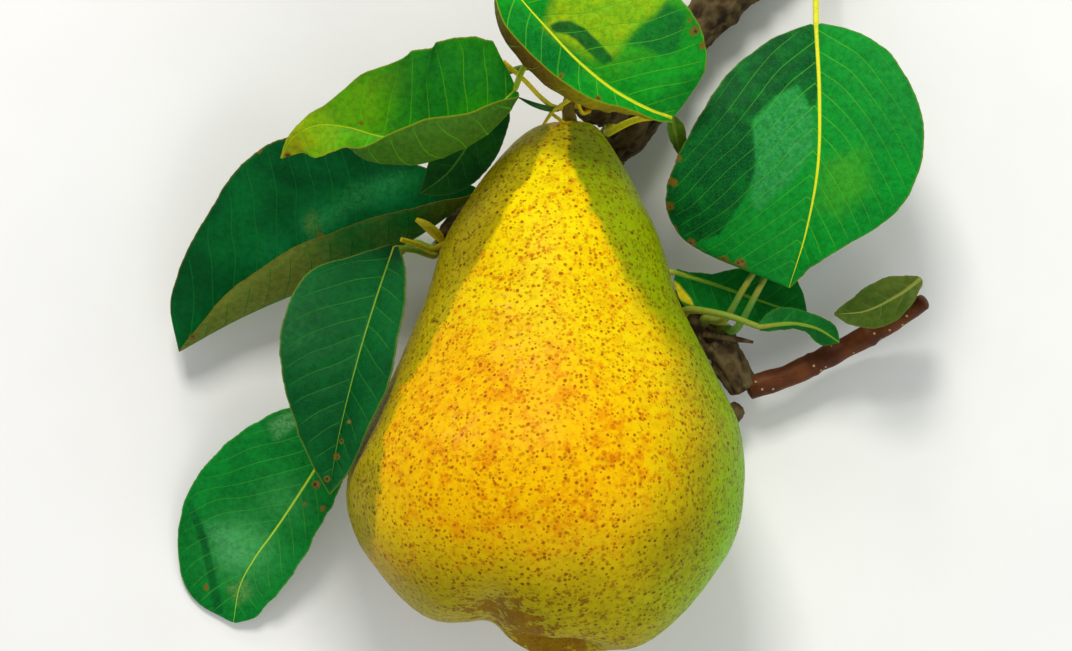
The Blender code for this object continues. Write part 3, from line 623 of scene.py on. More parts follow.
class Value:
    """A node's output, for plain sums and softly mapped ranges."""

    def __init__(self, paint, socket):
        self.paint, self.socket = paint, socket

    def __add__(self, other):
        return self.paint.sum("ADD", self, other)

    def __sub__(self, other):
        return self.paint.sum("SUBTRACT", self, other)

    def __rsub__(self, other):
        return self.paint.sum("SUBTRACT", other, self)

    def __mul__(self, other):
        return self.paint.sum("MULTIPLY", self, other)

    def __truediv__(self, other):
        return self.paint.sum("DIVIDE", self, other)

    def to(self, low, high, to_low=0.0, to_high=1.0):
        """The value's place between two limits, softly, as another range."""
        inputs = {"Value": self, "From Min": low, "From Max": high, "To Min": to_low, "To Max": to_high}
        return self.paint.out("ShaderNodeMapRange", "Result", inputs, interpolation_type="SMOOTHSTEP")


class Paint:
    """A material with a Principled shader, and short ways to add nodes to it."""

    def __init__(self, name, specular):
        self.material = bpy.data.materials.new(name)
        self.material.use_nodes = True
        self.tree = self.material.node_tree
        self.shader = self.tree.nodes["Principled BSDF"]
        self.shader.inputs["Specular IOR Level"].default_value = specular
        self.place = self.out("ShaderNodeTexCoord", "Object")

    def put(self, socket, value):
        """Sets a socket to a value or links another node's output to it."""
        if isinstance(value, Value):
            self.tree.links.new(value.socket, socket)
        elif isinstance(value, tuple) and socket.type == "RGBA":
            socket.default_value = linear(value)
        else:
            socket.default_value = value

    def node(self, kind, inputs=None, **settings):
        """A new node with its settings and inputs."""
        made = self.tree.nodes.new(kind)
        for setting, value in settings.items():
            setattr(made, setting, value)
        for name, value in (inputs or {}).items():
            self.put(made.inputs[name], value)
        return made

    def out(self, kind, output, inputs=None, **settings):
        """A new node's output."""
        return Value(self, self.node(kind, inputs, **settings).outputs[output])

    def sum(self, operation, a, b=0.0):
        """A Math node's result."""
        return self.out("ShaderNodeMath", 0, {0: a, 1: b}, operation=operation)

    def mix(self, share, a, b):
        """Two colours mixed."""
        return self.out("ShaderNodeMix", 2, {"Factor": share, 6: a, 7: b}, data_type="RGBA")

    def layers(self, colour, *coats):
        """A colour under coats, each a share and a colour."""
        for share, coat in coats:
            colour = self.mix(share, colour, coat)
        return colour

    def value(self, name):
        """A value that the mesh carries."""
        return self.out("ShaderNodeAttribute", "Fac", attribute_name=name)

    def noise(self, scale, detail=4.0, roughness=0.55, vector=None):
        """Fractal noise from 0 to 1."""
        inputs = {"Vector": vector or self.place, "Scale": scale, "Detail": detail, "Roughness": roughness}
        return self.out("ShaderNodeTexNoise", "Fac", inputs)

    def cells(self, scale, feature="F1", output="Distance", vector=None):
        """A cell pattern."""
        inputs = {"Vector": vector or self.place, "Scale": scale}
        return self.out("ShaderNodeTexVoronoi", output, inputs, feature=feature)

    def chances(self, scale):
        """Two values that differ from cell to cell."""
        parts = self.node("ShaderNodeSeparateColor", {0: self.cells(scale, output="Color")})
        return Value(self, parts.outputs[0]), Value(self, parts.outputs[1])

    def mapped(self, scale, location=(0.0, 0.0, 0.0)):
        """The object's coordinates scaled and moved."""
        return self.out("ShaderNodeMapping", 0, {"Vector": self.place, "Scale": scale, "Location": location})

    def finish(self, colour, roughness, height, strength, distance):
        """Joins colour, roughness and a bump to the shader."""
        inputs = {"Height": height, "Strength": strength, "Distance": distance}
        self.put(self.shader.inputs["Base Color"], colour)
        self.put(self.shader.inputs["Roughness"], roughness)
        self.put(self.shader.inputs["Normal"], self.out("ShaderNodeBump", 0, inputs))
        return self.material


def leaf_paint(name, look):
    """A leaf: green with pale veins, a rib, a thin margin, rust spots and a dull underside, with painted
    sunlight, highlights and shadow on its upper side.
    """
    paint = Paint(name, 0.06)
    fresh, back = look["fresh"], look["under"]
    veins = tuple((2 * a + b) / 3 for a, b in zip(fresh, look["rib"]))
    under, margin = paint.value("under"), paint.value("margin")
    broad, fine = paint.noise(60.0, 3.0), paint.noise(900.0, 5.0)
    cloud = paint.noise(240.0, 5.0, 0.6)
    grain = paint.noise(1500.0, 3.0, 0.7).to(0.36, 0.66, 0.25, 1.0)
    upper = paint.mix(broad.to(0.35, 0.7), look["upper"], fresh)
    # Sun spots: painted sunlight and highlight, in the shine colour, on the upper side.
    upper = paint.mix(paint.value("sun"), upper, look.get("shine", fresh))
    # Patches: painted shadow, painted sunlight and painted highlights on the upper side.
    for n, (tone, soft, share, grainy, _) in enumerate(look.get("patches", ())):
        mask = paint.value(f"patch_{n}").to(-soft, soft, 0.0, share)
        upper = paint.mix(mask * grain if grainy else mask, upper, tone)
    lower = paint.mix(0.82, paint.mix(broad.to(0.3, 0.75), back, fresh), back)
    lower = paint.mix(paint.value("tan"), lower, look.get("under_tan", back))
    from_rib = paint.sum("ABSOLUTE", paint.value("across"))
    wave = paint.sum("PINGPONG", paint.value("phase"), 0.5)
    vein = (1.0 - wave / from_rib.to(1.0, 22.0, 0.052, 0.028)).to(0.0, 0.9) * margin.to(0.3, 3.0)
    net = paint.cells(1500.0, "DISTANCE_TO_EDGE").to(0.0, 0.09, 1.0, 0.0)
    burnt = paint.value("rust") + cloud * 0.9
    colour = paint.layers(
        paint.mix(under, upper, lower),
        (cloud.to(0.4, 0.66, 0.0, 0.26), paint.mix(under, fresh, back)),
        (fine.to(0.34, 0.72, 0.0, 0.34), (0, 42, 12)),
        (vein * broad.to(0.3, 0.7, 0.5, 0.9), veins),
        (net * 0.14, veins),
        ((1.0 - from_rib / paint.value("rib")).to(0.0, 0.55), look["rib"]),
        (margin.to(0.05, 0.45, 0.6, 0.0), look["edge"]),
        (burnt.to(0.8, 1.05, 0.0, 0.85), (122, 96, 16)),
        (burnt.to(1.05, 1.3, 0.0, 0.9), paint.mix(fine.to(0.4, 0.6), (70, 42, 18), (132, 108, 84))),
    )
    rough = fine.to(0.2, 0.8, 0.42, 0.56) + under * 0.22
    height = vein * under.to(0.0, 1.0, -1.0, 1.4) + net * -0.35 + fine * 0.3
    return paint.finish(colour, rough, height, 0.5, 0.00012)


def stem_paint(name, colour, second):
    """A leaf's stem and rib: fresh and slightly ribbed along its length."""
    paint = Paint(name, 0.2)
    fine = paint.noise(1400.0)
    # The stem's own colour, with dark speckles and a browner foot.
    stem_colour = paint.layers(
        paint.mix(paint.noise(140.0, 3.0).to(0.35, 0.7), colour, second),
        (fine.to(0.45, 0.8, 0.0, 0.35), (96, 84, 20)),
        (paint.value("along").to(0.0, 2.4, 0.75, 0.0), (92, 66, 28)),
    )
    return paint.finish(stem_colour, 0.48, fine, 0.4, 0.0001)


def bark_paint():
    """Rough grey-brown bark with dark cracks, flakes and pale lichen-grey crusts."""
    paint = Paint("bark", 0.25)
    fine = paint.noise(1100.0, 6.0, 0.65)
    flakes = paint.cells(420.0)
    colour = paint.layers(
        paint.mix(paint.noise(130.0).to(0.35, 0.68), (60, 44, 20), (86, 66, 34)),
        (flakes.to(0.25, 0.7, 0.0, 0.5), (114, 98, 62)),
        (paint.value("relief").to(-0.1, -0.55, 0.0, 0.9), (30, 21, 14)),
        (paint.noise(320.0, 5.0, 0.7).to(0.6, 0.72, 0.0, 0.4), (132, 122, 88)),
        (fine.to(0.5, 0.85, 0.0, 0.55), (40, 28, 18)),
    )
    return paint.finish(colour, 0.86, fine + flakes * 0.8, 0.9, 0.0003)


def shoot_paint():
    """Smooth red-brown young bark with pale pores."""
    paint = Paint("shoot_bark", 0.15)
    fine = paint.noise(1100.0, 5.0, vector=paint.mapped((1.0, 2.6, 1.0)))
    pore = paint.cells(520.0).to(0.1, 0.17, 0.85, 0.0)
    colour = paint.layers(
        paint.mix(paint.noise(160.0).to(0.3, 0.72), (74, 34, 10), (106, 56, 18)),
        (fine.to(0.45, 0.85, 0.0, 0.5), (52, 20, 10)),
        (pore, (196, 168, 104)),
    )
    return paint.finish(colour, 0.5, fine * 0.4 + pore, 0.6, 0.00018)


def wood_paint():
    """The pale cut end of the branch, with rings and a brown rim."""
    paint = Paint("cut_wood", 0.3)
    reach = paint.value("spoke")
    wobble = paint.noise(500.0)
    rings = paint.sum("PINGPONG", reach * 5.0 + wobble * 0.5, 0.5)
    colour = paint.layers(
        paint.mix(wobble.to(0.3, 0.7), (198, 170, 116), (216, 196, 146)),
        (rings.to(0.0, 0.16, 0.6, 0.0), (150, 112, 62)),
        (reach.to(0.84, 0.93), (104, 92, 44)),
        (reach.to(0.93, 0.98), (70, 50, 32)),
    )
    return paint.finish(colour, 0.75, wobble, 0.4, 0.0002)


def pear_paint():
    """Ripening skin with dots, freckles and russet: a sunlit gold face, and olive and green sides that carry
    painted shadow, with painted light and a painted highlight.
    """
    paint = Paint("pear_skin", 0.04)
    paint.shader.inputs["Subsurface Weight"].default_value = 0.04
    paint.shader.inputs["Subsurface Radius"].default_value = (0.003, 0.002, 0.0005)
    broad, fine = paint.noise(55.0), paint.noise(1700.0)
    patch, speckled = paint.noise(210.0, 5.0, 0.62), paint.noise(520.0, 4.0, 0.7)
    ragged = (patch - 0.5) * 4.0
    drift = (broad - 0.5) * 0.7
    # The gold face is the sunlit part of the skin; the sides beyond its borders are painted shadow of the
    # leaves, over skin that is greener there.
    left = (paint.value("left_gap") + ragged).to(-0.7, 0.9)
    right = ((paint.value("right_gap") + ragged) / paint.value("right_soft")).to(-0.5, 0.5)
    face = left * right
    green = (paint.value("green") + drift).to(0.1, 0.95)
    painted_side_light = (paint.value("painted_side_light") + drift).to(0.1, 1.5)
    dull = (paint.value("dull") + drift).to(0.15, 0.9)
    warm = (paint.value("warm") + drift).to(0.1, 0.9)
    # The sides: olive painted shadow with the skin's own green, lime painted light on the lower right flank,
    # and darker olive painted shade towards the bottom and the left.
    side = paint.layers(
        paint.mix(broad.to(0.3, 0.7), (164, 146, 2), (182, 164, 3)),
        (green, (142, 164, 3)),
        (painted_side_light, (128, 196, 3)),
        (dull, (166, 152, 3)),
    )
    # The face: gold with the skin's own blush, lemon painted light on the neck, and painted shade where the
    # darker olive reaches.
    gold = paint.layers(
        paint.mix(broad.to(0.3, 0.7), (226, 196, 2), (234, 208, 3)),
        (warm, (240, 188, 2)),
        (paint.value("painted_neck_light"), (252, 234, 4)),
        (dull * 0.8, (186, 154, 2)),
    )
    mottle = paint.noise(620.0, 3.0, 0.6).to(0.42, 0.66, 0.0, 0.32)
    flush = (patch + speckled * 0.7).to(0.84, 0.98) * warm.to(0.0, 1.0, 0.2, 0.56)
    # A painted highlight: pale speckles on the face.
    painted_sheen = paint.value("pale") * speckled.to(0.42, 0.62, 0.0, 0.8)
    grit = paint.noise(720.0, 4.0, 0.78).to(0.53, 0.6, 0.0, 0.75) * patch.to(0.4, 0.58, 0.4, 1.0)
    sizes = paint.chances(560.0)[0].to(0.1, 1.0, 0.08, 0.36) * patch.to(0.35, 0.65, 0.6, 1.3)
    freckle = (paint.cells(560.0) / sizes).to(0.55, 1.05, 0.7, 0.0)
    sizes, strengths = paint.chances(960.0)
    dot = (paint.cells(960.0) / sizes.to(0.0, 1.0, 0.2, 0.46)).to(0.45, 1.1, 1.0, 0.0)
    more_dots = paint.cells(760.0, vector=paint.mapped((1.0, 1.0, 1.0), (0.3, 0.7, 0.5)))
    dot = paint.sum("MAXIMUM", dot, more_dots.to(0.1, 0.3, 0.9, 0.0))
    cork = paint.value("russet") + ((patch - 0.5) * 2.2 + (speckled - 0.5) * 2.4)
    cork = cork.to(0.66, 0.84, 0.0, 0.8)
    colour = paint.layers(
        paint.mix(face, side, gold),
        (mottle, paint.mix(face, (112, 110, 4), (206, 144, 2))),
        (flush * face, (222, 132, 2)),
        (painted_sheen, (250, 196, 84)),
        (grit, paint.mix(face, (116, 100, 4), (208, 122, 2))),
        (freckle, paint.mix(face, (128, 90, 4), (200, 108, 3))),
        (dot * strengths.to(0.1, 0.9, 0.45, 1.0), paint.mix(face, (98, 62, 4), (164, 88, 2))),
        (cork, paint.mix(fine, (96, 60, 6), (146, 98, 12))),
    )
    rough = fine.to(0.2, 0.8, 0.34, 0.48) + cork * 0.25
    height = dot + cork * 0.8 + fine * 0.5 + patch
    return paint.finish(colour, rough, height, 0.4, 0.00026)


def dry_paint(name, dark, light):
    """Dry brown tissue, for the stalk and the flower's rest."""
    paint = Paint(name, 0.3)
    fine = paint.noise(1600.0, 5.0, 0.6)
    colour = paint.mix(paint.noise(260.0).to(0.35, 0.68), dark, light)
    colour = paint.mix(fine.to(0.5, 0.85, 0.0, 0.5), colour, (34, 22, 12))
    return paint.finish(colour, 0.7, fine, 0.7, 0.0002)


def floor_paint():
    """A plain pale floor with the faintest grain."""
    paint = Paint("floor", 0.2)
    grain = paint.noise(40.0, 5.0)
    colour = paint.mix(grain.to(0.3, 0.7), (241, 241, 240), (243, 243, 242))
    return paint.finish(colour, 0.85, grain, 0.02, 0.0004)


def make_piece(name, places, faces, materials, values=None, slots=None, uvs=None):
    """An object from places in layout metres, faces, materials and per-vertex values."""
    mesh = bpy.data.meshes.new(name)
    verts = [place - SHIFT for place in places]
    for vert in verts:
        vert.z = max(vert.z, LOWEST)
    mesh.from_pydata(verts, [], faces)
    for key, row in (values or {}).items():
        mesh.attributes.new(key, "FLOAT", "POINT").data.foreach_set("value", row)
    for material in materials:
        mesh.materials.append(material)
    if slots:
        mesh.polygons.foreach_set("material_index", slots)
    if uvs:
        layer = mesh.uv_layers.new(name="UVMap")
        for loop in mesh.loops:
            layer.data[loop.index].uv = uvs[loop.vertex_index]
    mesh.update()
    mesh.shade_smooth()
    mesh.set_sharp_from_angle(angle=SHARP_ANGLE)
    piece = bpy.data.objects.new(name, mesh)
    bpy.context.scene.collection.objects.link(piece)
    return piece


def dress(piece, slot, *nodes):
    """Rides the piece on the part, and hides the nodes that it stands for. Its finish, slot, is not used."""
    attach(piece, "root")
    if nodes:
        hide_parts(*nodes)
    return piece


def turned_out(piece):
    """The piece with all its faces turned outward."""
    shape = bmesh.new()
    shape.from_mesh(piece.data)
    bmesh.ops.recalc_face_normals(shape, faces=shape.faces)
    shape.to_mesh(piece.data)
    shape.free()
    return piece


def tube_faces(rings, sides, first=0):
    """Quads between rings of vertices that follow each other."""
    faces = []
    for k in range(rings - 1):
        for n in range(sides):
            a = first + k * sides + n
            b = first + k * sides + (n + 1) % sides
            faces.append((a, b, b + sides, a + sides))
    return faces


def closed_tube(rings, sides, first=0):
    """A tube's faces, with a face over each of its ends."""
    last = first + (rings - 1) * sides
    ends = [tuple(first + n for n in range(sides))[::-1], tuple(last + n for n in range(sides))]
    return tube_faces(rings, sides, first) + ends


def bark_relief(name, run, angle, radius):
    """How far rough bark stands out, in millimetres, from lengthwise cracks and flakes."""
    seed = seed_of(name) * 0.37
    around = Vector((math.cos(angle), math.sin(angle), 0.0)) * radius
    long_place = Vector((around.x, around.y, run * 0.32 + seed))
    ridges = noise.fractal(long_place * 0.62, 0.8, 2.1, 4)
    lump_place = Vector((around.x, around.y, run + seed))
    lumps = noise.fractal(lump_place * 0.22, 1.0, 2.0, 3)
    distances = noise.voronoi(long_place * 0.55)[0]
    edge = min((distances[1] - distances[0]) / 0.3, 1.0)
    rings = noise.noise(Vector((around.x * 0.1, around.y * 0.1, run * 0.9 + seed)))
    return 0.32 * ridges + 0.5 * lumps + 0.34 * (edge - 0.75) + 0.16 * rings


def limb_piece(name, material, path, radii, sides, step, rough, scars=(), start=0.0, end=0.0):
    """A limb with bark relief, rounded ends, and ring scars at (share, height) places.

    start and end are how far, in millimetres, it runs on into its neighbour."""
    points = [point(place) for place in path]
    places, shares = sampled(points, step)
    ways = directions(places)
    total = length_of(points) / MM
    last = RINGS_PER_POINT * (len(path) - 1)
    side = carried(UP, ways[0])
    verts, relief_values = [], []
    rows = [(places[0] - ways[0] * start * MM, ways[0], 0.0)] if start else []
    rows += list(zip(places, ways, shares))
    rows += [(places[-1] + ways[-1] * end * MM, ways[-1], 1.0)] if end else []
    for place, way, share in rows:
        side = carried(side, way)
        across = way.cross(side)
        swell = 1.0 + KNOTS * math.sin(2.3 * share * last) * math.sin(math.pi * share) ** 0.3
        base = along_values(radii, share) * swell
        for scar, height in scars:
            base += height * math.exp(-(((share - scar) * total / SCAR_REACH) ** 2))
        for n in range(sides):
            relief = bark_relief(name, share * total, TURN * n / sides, base) * rough
            verts.append(place + spoke(side, across, n, sides) * ((base + relief) * MM))
            relief_values.append(relief)
    faces = tube_faces(len(rows), sides)
    caps = ((0, rows[0][0], -rows[0][1], True), (len(rows) - 1, rows[-1][0], rows[-1][1], False))
    for row, middle, way, flip in caps:
        ring = [row * sides + n for n in range(sides)]
        for inset, rise in CAP_RINGS:
            inner = [len(verts) + n for n in range(sides)]
            for n in range(sides):
                rim = verts[row * sides + n]
                bump = 0.25 * rough * noise.noise((rim - middle) * inset * 900.0)
                verts.append(middle.lerp(rim, inset) + way * (rise + bump) * MM)
                relief_values.append(relief_values[row * sides + n] * inset - CAP_SHADE)
            for n in range(sides):
                after = (n + 1) % sides
                quad = (ring[n], ring[after], inner[after], inner[n])
                faces.append(quad[::-1] if flip else quad)
            ring = inner
        centre = len(verts)
        verts.append(middle + way * CAP_RISE * MM)
        relief_values.append(-CAP_SHADE)
        for n in range(sides):
            tri = (ring[n], ring[(n + 1) % sides], centre)
            faces.append(tri[::-1] if flip else tri)
    return make_piece(name, verts, faces, [material], {"relief": relief_values})


def pear_place(along, radius, aside, angle):
    """A point of the pear's skin, before it is set down on the floor."""
    share = clamp((along - LOBE_START) / (LOBE_FULL - LOBE_START))
    ease = share**2 * (3.0 - 2.0 * share)
    x = aside + radius * math.cos(angle)
    inside, outside = DENT_RADII
    near_rim = smooth((outside - radius) / (outside - inside))
    dent_at = clamp(x, DENT_PLACES[0], DENT_PLACES[-1])
    shift = LOBE_WAVE * math.cos(LOBE_WAVES * (angle - LOBE_TURN))
    shift -= DENT_DEPTH * near_rim * between(DENT_PLACES, DENT_SHARES, dent_at)
    along = along + shift * ease * min(radius / 12.0, 1.0) ** 2
    height = radius * PEAR_DEPTH * math.sin(angle)
    y = PEAR_TOP[1] - along * math.cos(PEAR_TIP_UP) + height * math.sin(PEAR_TIP_UP)
    z = along * math.sin(PEAR_TIP_UP) + height * math.cos(PEAR_TIP_UP)
    return Vector((x, y, z)) * MM


# Where the sunlit gold face ends and the painted shadow on the sides begins, as (y, x) from the stem end to
# the blossom end, and over how many millimetres it fades on the right. The borders are the leaves' cast
# shadows, painted; below FACE_HEIGHT and past FACE_END the skin carries painted shade too.
LEFT_BORDER = (
    (44.0, 2.6), (38.6, 2.2), (30.2, -1.2), (25.4, -4.8), (13.0, -11.2), (6.0, -15.6), (-3.2, -20.4),
    (-12.6, -26.2), (-20.0, -29.4), (-27.4, -30.4), (-33.6, -30.8), (-46.0, -33.0),
)
RIGHT_BORDER = (
    (44.0, 6.4), (36.6, 7.2), (33.6, 6.6), (28.2, 8.8), (22.4, 11.2), (13.8, 15.6), (8.0, 18.6),
    (1.2, 23.4), (-6.0, 27.4), (-20.0, 29.6), (-34.0, 26.0), (-46.0, 16.0),
)
RIGHT_SOFT = ((44.0, 1.2), (24.0, 1.8), (8.0, 4.0), (-6.0, 9.0), (-20.0, 16.0), (-46.0, 20.0))
FACE_HEIGHT = 24.0
FACE_END = -47.0

# Where the skin's tints lie, its own blush and russet and some painted light and shade: (x, y, height,
# reach, weight) in the layout
TINT_SPOTS = {
    "warm": (
        (-12.0, -24.0, 70.0, 22.0, 1.0), (-24.0, -14.0, 60.0, 14.0, 0.9), (8.0, -28.0, 72.0, 20.0, 0.7),
    ),
    # The skin's own green on the right, deepened by painted shadow on the right of the neck.
    "green": ((44.0, -40.0, 44.0, 26.0, 1.0), (34.0, 8.0, 34.0, 24.0, 1.3), (16.0, 30.0, 34.0, 16.0, 1.1)),
    # Painted light: a lime glow on the lower right flank.
    "painted_side_light": (
        (52.0, -34.0, 30.0, 30.0, 1.2), (40.0, -58.0, 34.0, 26.0, 0.9), (50.0, -6.0, 26.0, 26.0, 0.5),
    ),
    # Painted shade: darker olive towards the bottom and the left, and a dimmer patch on the belly.
    "dull": (
        (16.0, -30.0, 62.0, 13.0, 0.5), (-24.0, 12.0, 34.0, 14.0, 0.8), (-12.0, -60.0, 56.0, 20.0, 1.0),
        (-34.0, -46.0, 40.0, 16.0, 0.9),
    ),
    "russet": (
        (-3.0, -57.0, 58.0, 11.0, 0.9), (2.0, -63.0, 36.0, 12.0, 1.3), (-16.0, -50.0, 58.0, 8.0, 0.5),
        (5.0, -50.0, 60.0, 9.0, 0.55), (26.0, -43.0, 52.0, 5.0, 0.6),
    ),
    # Painted light on the neck's top.
    "painted_neck_light": ((3.0, 38.0, 38.0, 12.0, 1.0), (0.0, 20.0, 48.0, 14.0, 0.5)),
    # Painted highlight: a pale speckled sheen on the face.
    "pale": ((-2.4, -8.0, 62.0, 5.5, 0.8), (-5.0, 3.4, 58.0, 3.5, 0.5), (-14.0, -20.0, 70.0, 4.5, 0.5)),
}


def at_row(rows, y):
    """A straight-line value at y, from rows of (y, value) with falling y."""
    if y >= rows[0][0]:
        return rows[0][1]
    for (high, first), (low, second) in zip(rows, rows[1:]):
        if y >= low:
            return second + (first - second) * (y - low) / (high - low)
    return rows[-1][1]


def tint(place, spots):
    """How strongly the spots colour a place, from 0 to about 1."""
    total = 0.0
    for x, y, z, reach, weight in spots:
        away = (place / MM - Vector((x, y, z))).length / reach
        total += weight * math.exp(-away * away)
    return total


def face_gap(place, border, sign):
    """How far a place of the skin lies inside the sunlit gold face's border, out of the painted shadow, in
    millimetres.
    """
    x, y, z = place / MM
    gap = min(sign * (x - at_row(border, y)), (z - FACE_HEIGHT) * 0.5)
    return min(gap, y - FACE_END) if sign < 0.0 else gap


def pear_piece(material):
    """The fruit, lying on its side on the floor, and how far it was lifted."""
    outline = [Vector(row) for row in PEAR_OUTLINE]
    rows = even_places(outline, [k / PEAR_RINGS for k in range(PEAR_RINGS + 1)])
    verts = []
    for along, radius, aside in rows[1:-1]:
        for n in range(PEAR_SIDES):
            verts.append(pear_place(along, radius, aside, TURN * n / PEAR_SIDES))
    for along, _, aside in (rows[0], rows[-1]):
        verts.append(pear_place(along, 0.0, aside, 0.0))
    lift = Vector((0.0, 0.0, -min(place.z for place in verts)))
    shaped = []
    for place in verts:
        place = place + lift
        away = (place - SWELL_MIDDLE * MM).normalized()
        swell = 0.55 * noise.fractal(place / MM * 0.045, 1.0, 2.0, 3)
        swell += 0.05 * noise.noise(place / MM * 0.6)
        moved = place + away * swell * MM
        moved.z = max(moved.z, 0.0)
        shaped.append(moved)
    faces = tube_faces(PEAR_RINGS - 1, PEAR_SIDES)
    top, pit = len(verts) - 2, len(verts) - 1
    last = (PEAR_RINGS - 2) * PEAR_SIDES
    for n in range(PEAR_SIDES):
        after = (n + 1) % PEAR_SIDES
        faces += [(after, n, top), (last + n, last + after, pit)]
    values = {name: [tint(place, spots) for place in shaped] for name, spots in TINT_SPOTS.items()}
    values["left_gap"] = [face_gap(place, LEFT_BORDER, 1.0) for place in shaped]
    values["right_gap"] = [face_gap(place, RIGHT_BORDER, -1.0) for place in shaped]
    values["right_soft"] = [at_row(RIGHT_SOFT, place.y / MM) for place in shaped]
    return make_piece("pear_fruit", shaped, faces, [material], values), lift


def half_blade(width, fold, curl, power):
    """(across, up, slope) from the midrib out to the margin of one half of a blade."""
    across, up = 0.0, 0.0
    places = [(across, up, math.radians(fold))]
    for k in range(BLADE_COLUMNS):
        middle = math.radians(fold + curl * ((k + 0.5) / BLADE_COLUMNS) ** power)
        across += math.cos(middle) * width / BLADE_COLUMNS
        up += math.sin(middle) * width / BLADE_COLUMNS
        places.append((across, up, math.radians(fold + curl * ((k + 1) / BLADE_COLUMNS) ** power)))
    return places


def foot_on(limb_name, share, way):
    """Where a petiole leaves a limb, sunk a little into its bark, and the way it leaves."""
    path, radii = LIMBS[limb_name][:2]
    points = [point(place) for place in path]
    places = even_places(points, [k / FOOT_STEPS for k in range(FOOT_STEPS + 1)])
    k = round(share * FOOT_STEPS)
    outward = carried(Vector(way).normalized(), directions(places)[k])
    return places[k] + outward * along_values(radii, k / FOOT_STEPS) * FOOT_DEPTH * MM, outward


def blade(name, leaf, look, midrib):
    """The blade's vertices, faces and values: an upper and a lower side, closed all round."""
    length = length_of(midrib) / MM
    rings = max(int(length / BLADE_RING_STEP), 24)
    ts = [k / rings for k in range(rings + 1)]
    places = even_places(midrib, ts)
    seed = seed_of(name) * 1.7
    slant, rib_size = look.get("slant", VEIN_SLANT), look.get("rib_size", RIB_SIZE)
    columns = 2 * BLADE_COLUMNS + 1
    verts, uvs, values = [], [], {}
    for t, place, way in zip(ts, places, directions(places)):
        above = carried(UP, way)
        right = way.cross(above)
        ends = min(t, 1.0 - t)
        rows = []
        for hand, sign in (("left", -1), ("right", 1)):
            width = max(between(leaf.get("stations", BLADE_STATIONS), leaf[hand], t), 0.2)
            ragged = noise.noise(Vector((t * length * 0.45, sign * 9.0, seed)))
            width += (0.26 * ragged + 0.04 * math.sin(t * length * 4.2)) * smooth(ends * 12.0)
            width = max(width, 0.12)
            fold = between(BLADE_STATIONS, leaf.get(hand + "_fold", 0.0), t)
            curl = between(BLADE_STATIONS, leaf.get(hand + "_curl", 0.0), t)
            power = leaf.get(hand + "_power", CURL_POWER)
            back = math.radians(leaf.get(hand + "_fan", leaf.get("fan", 0.0))) * (1.0 - t) ** 2
            out = right * sign * math.cos(back) - way * math.sin(back)
            row = []
            for k, (across, up, slope) in enumerate(half_blade(width, fold, curl, power)):
                share = k / BLADE_COLUMNS
                reach = share * width
                phase = (t * length - reach * slant - reach**2 * VEIN_SWEEP) / VEIN_SPACING
                phase += 0.5 * (sign > 0) + 0.26 * noise.noise(Vector((reach * 0.12, t * 6.0, seed)))
                slope = slope if k else 0.0
                normal = above * math.cos(slope) - out * math.sin(slope)
                middle = place + (out * across + above * up) * MM
                hump = abs(math.sin(math.pi * phase)) ** 0.7 - 0.5
                hump *= PUCKER * smooth(share * 5.0) * smooth((1.0 - share) * 3.0)
                wave = math.sin(TURN * t * length / MARGIN_WAVE_LENGTH + sign * 1.3 + seed)
                wave *= MARGIN_WAVE * share**2 * smooth(ends * 6.0)
                middle += normal * ((hump + wave) * smooth(ends * 10.0)) * MM
                thin = BLADE_THICKNESS + (MARGIN_THICKNESS - BLADE_THICKNESS) * share
                margin = min(width - reach, (1.0 - t) * length * 0.7 + 0.2)
                row.append((middle, normal * thin * MM / 2.0, sign * reach, phase, margin))
            rows += row[::-1] if sign < 0 else row[1:]
        for under, step in ((0.0, 1), (1.0, -1)):
            for middle, half, across, phase, margin in rows[::step]:
                where = middle + (half if under == 0.0 else -half)
                verts.append(where)
                uvs.append((0.5 + across / 100.0 + under, t * length / 100.0))
                facts = {"under": under, "across": across, "phase": phase, "margin": margin}
                facts["rib"] = rib_size * along_values(RIB_WIDTHS, t)
                facts["rust"] = spot_share(where, look["spots"], 0.5)
                # Shares of painted sunlight and of underside tan, and depths in the patches of painted
                # shadow and light.
                for key in ("sun", "tan"):
                    facts[key] = spot_share(where, look.get(key, ()))
                for n, patch in enumerate(look.get("patches", ())):
                    facts[f"patch_{n}"] = depth_in(where, patch[-1])
                for key, value in facts.items():
                    values.setdefault(key, []).append(value)
    faces = tube_faces(rings + 1, 2 * columns)
    for row, flip in ((0, True), (rings, False)):
        first, last = row * 2 * columns, (row + 1) * 2 * columns - 1
        for n in range(columns - 1):
            quad = (first + n, first + n + 1, last - 1 - n, last - n)
            faces.append(quad[::-1] if flip else quad)
    return verts, faces, values, uvs


def spot_share(where, spots, fall=1.0):
    """How much of a second colour a place has, from (x, y, reach, weight) spots."""
    most = 0.0
    for x, y, reach, *weight in spots:
        away = math.hypot(where.x / MM - x, where.y / MM - y) / reach
        most = max(most, (weight[0] if weight else 1.0) * math.exp(-fall * away * away))
    return most


def depth_in(where, outline):
    """How far inside an outline in the layout a place is, in millimetres."""
    x, y = where.x / MM, where.y / MM
    inside, nearest = False, math.inf
    for (ax, ay), (bx, by) in zip(outline, outline[1:] + outline[:1]):
        if (ay > y) != (by > y) and x < ax + (y - ay) * (bx - ax) / (by - ay):
            inside = not inside
        long_x, long_y = bx - ax, by - ay
        share = clamp(((x - ax) * long_x + (y - ay) * long_y) / (long_x**2 + long_y**2))
        nearest = min(nearest, math.hypot(x - ax - share * long_x, y - ay - share * long_y))
    return nearest if inside else -nearest


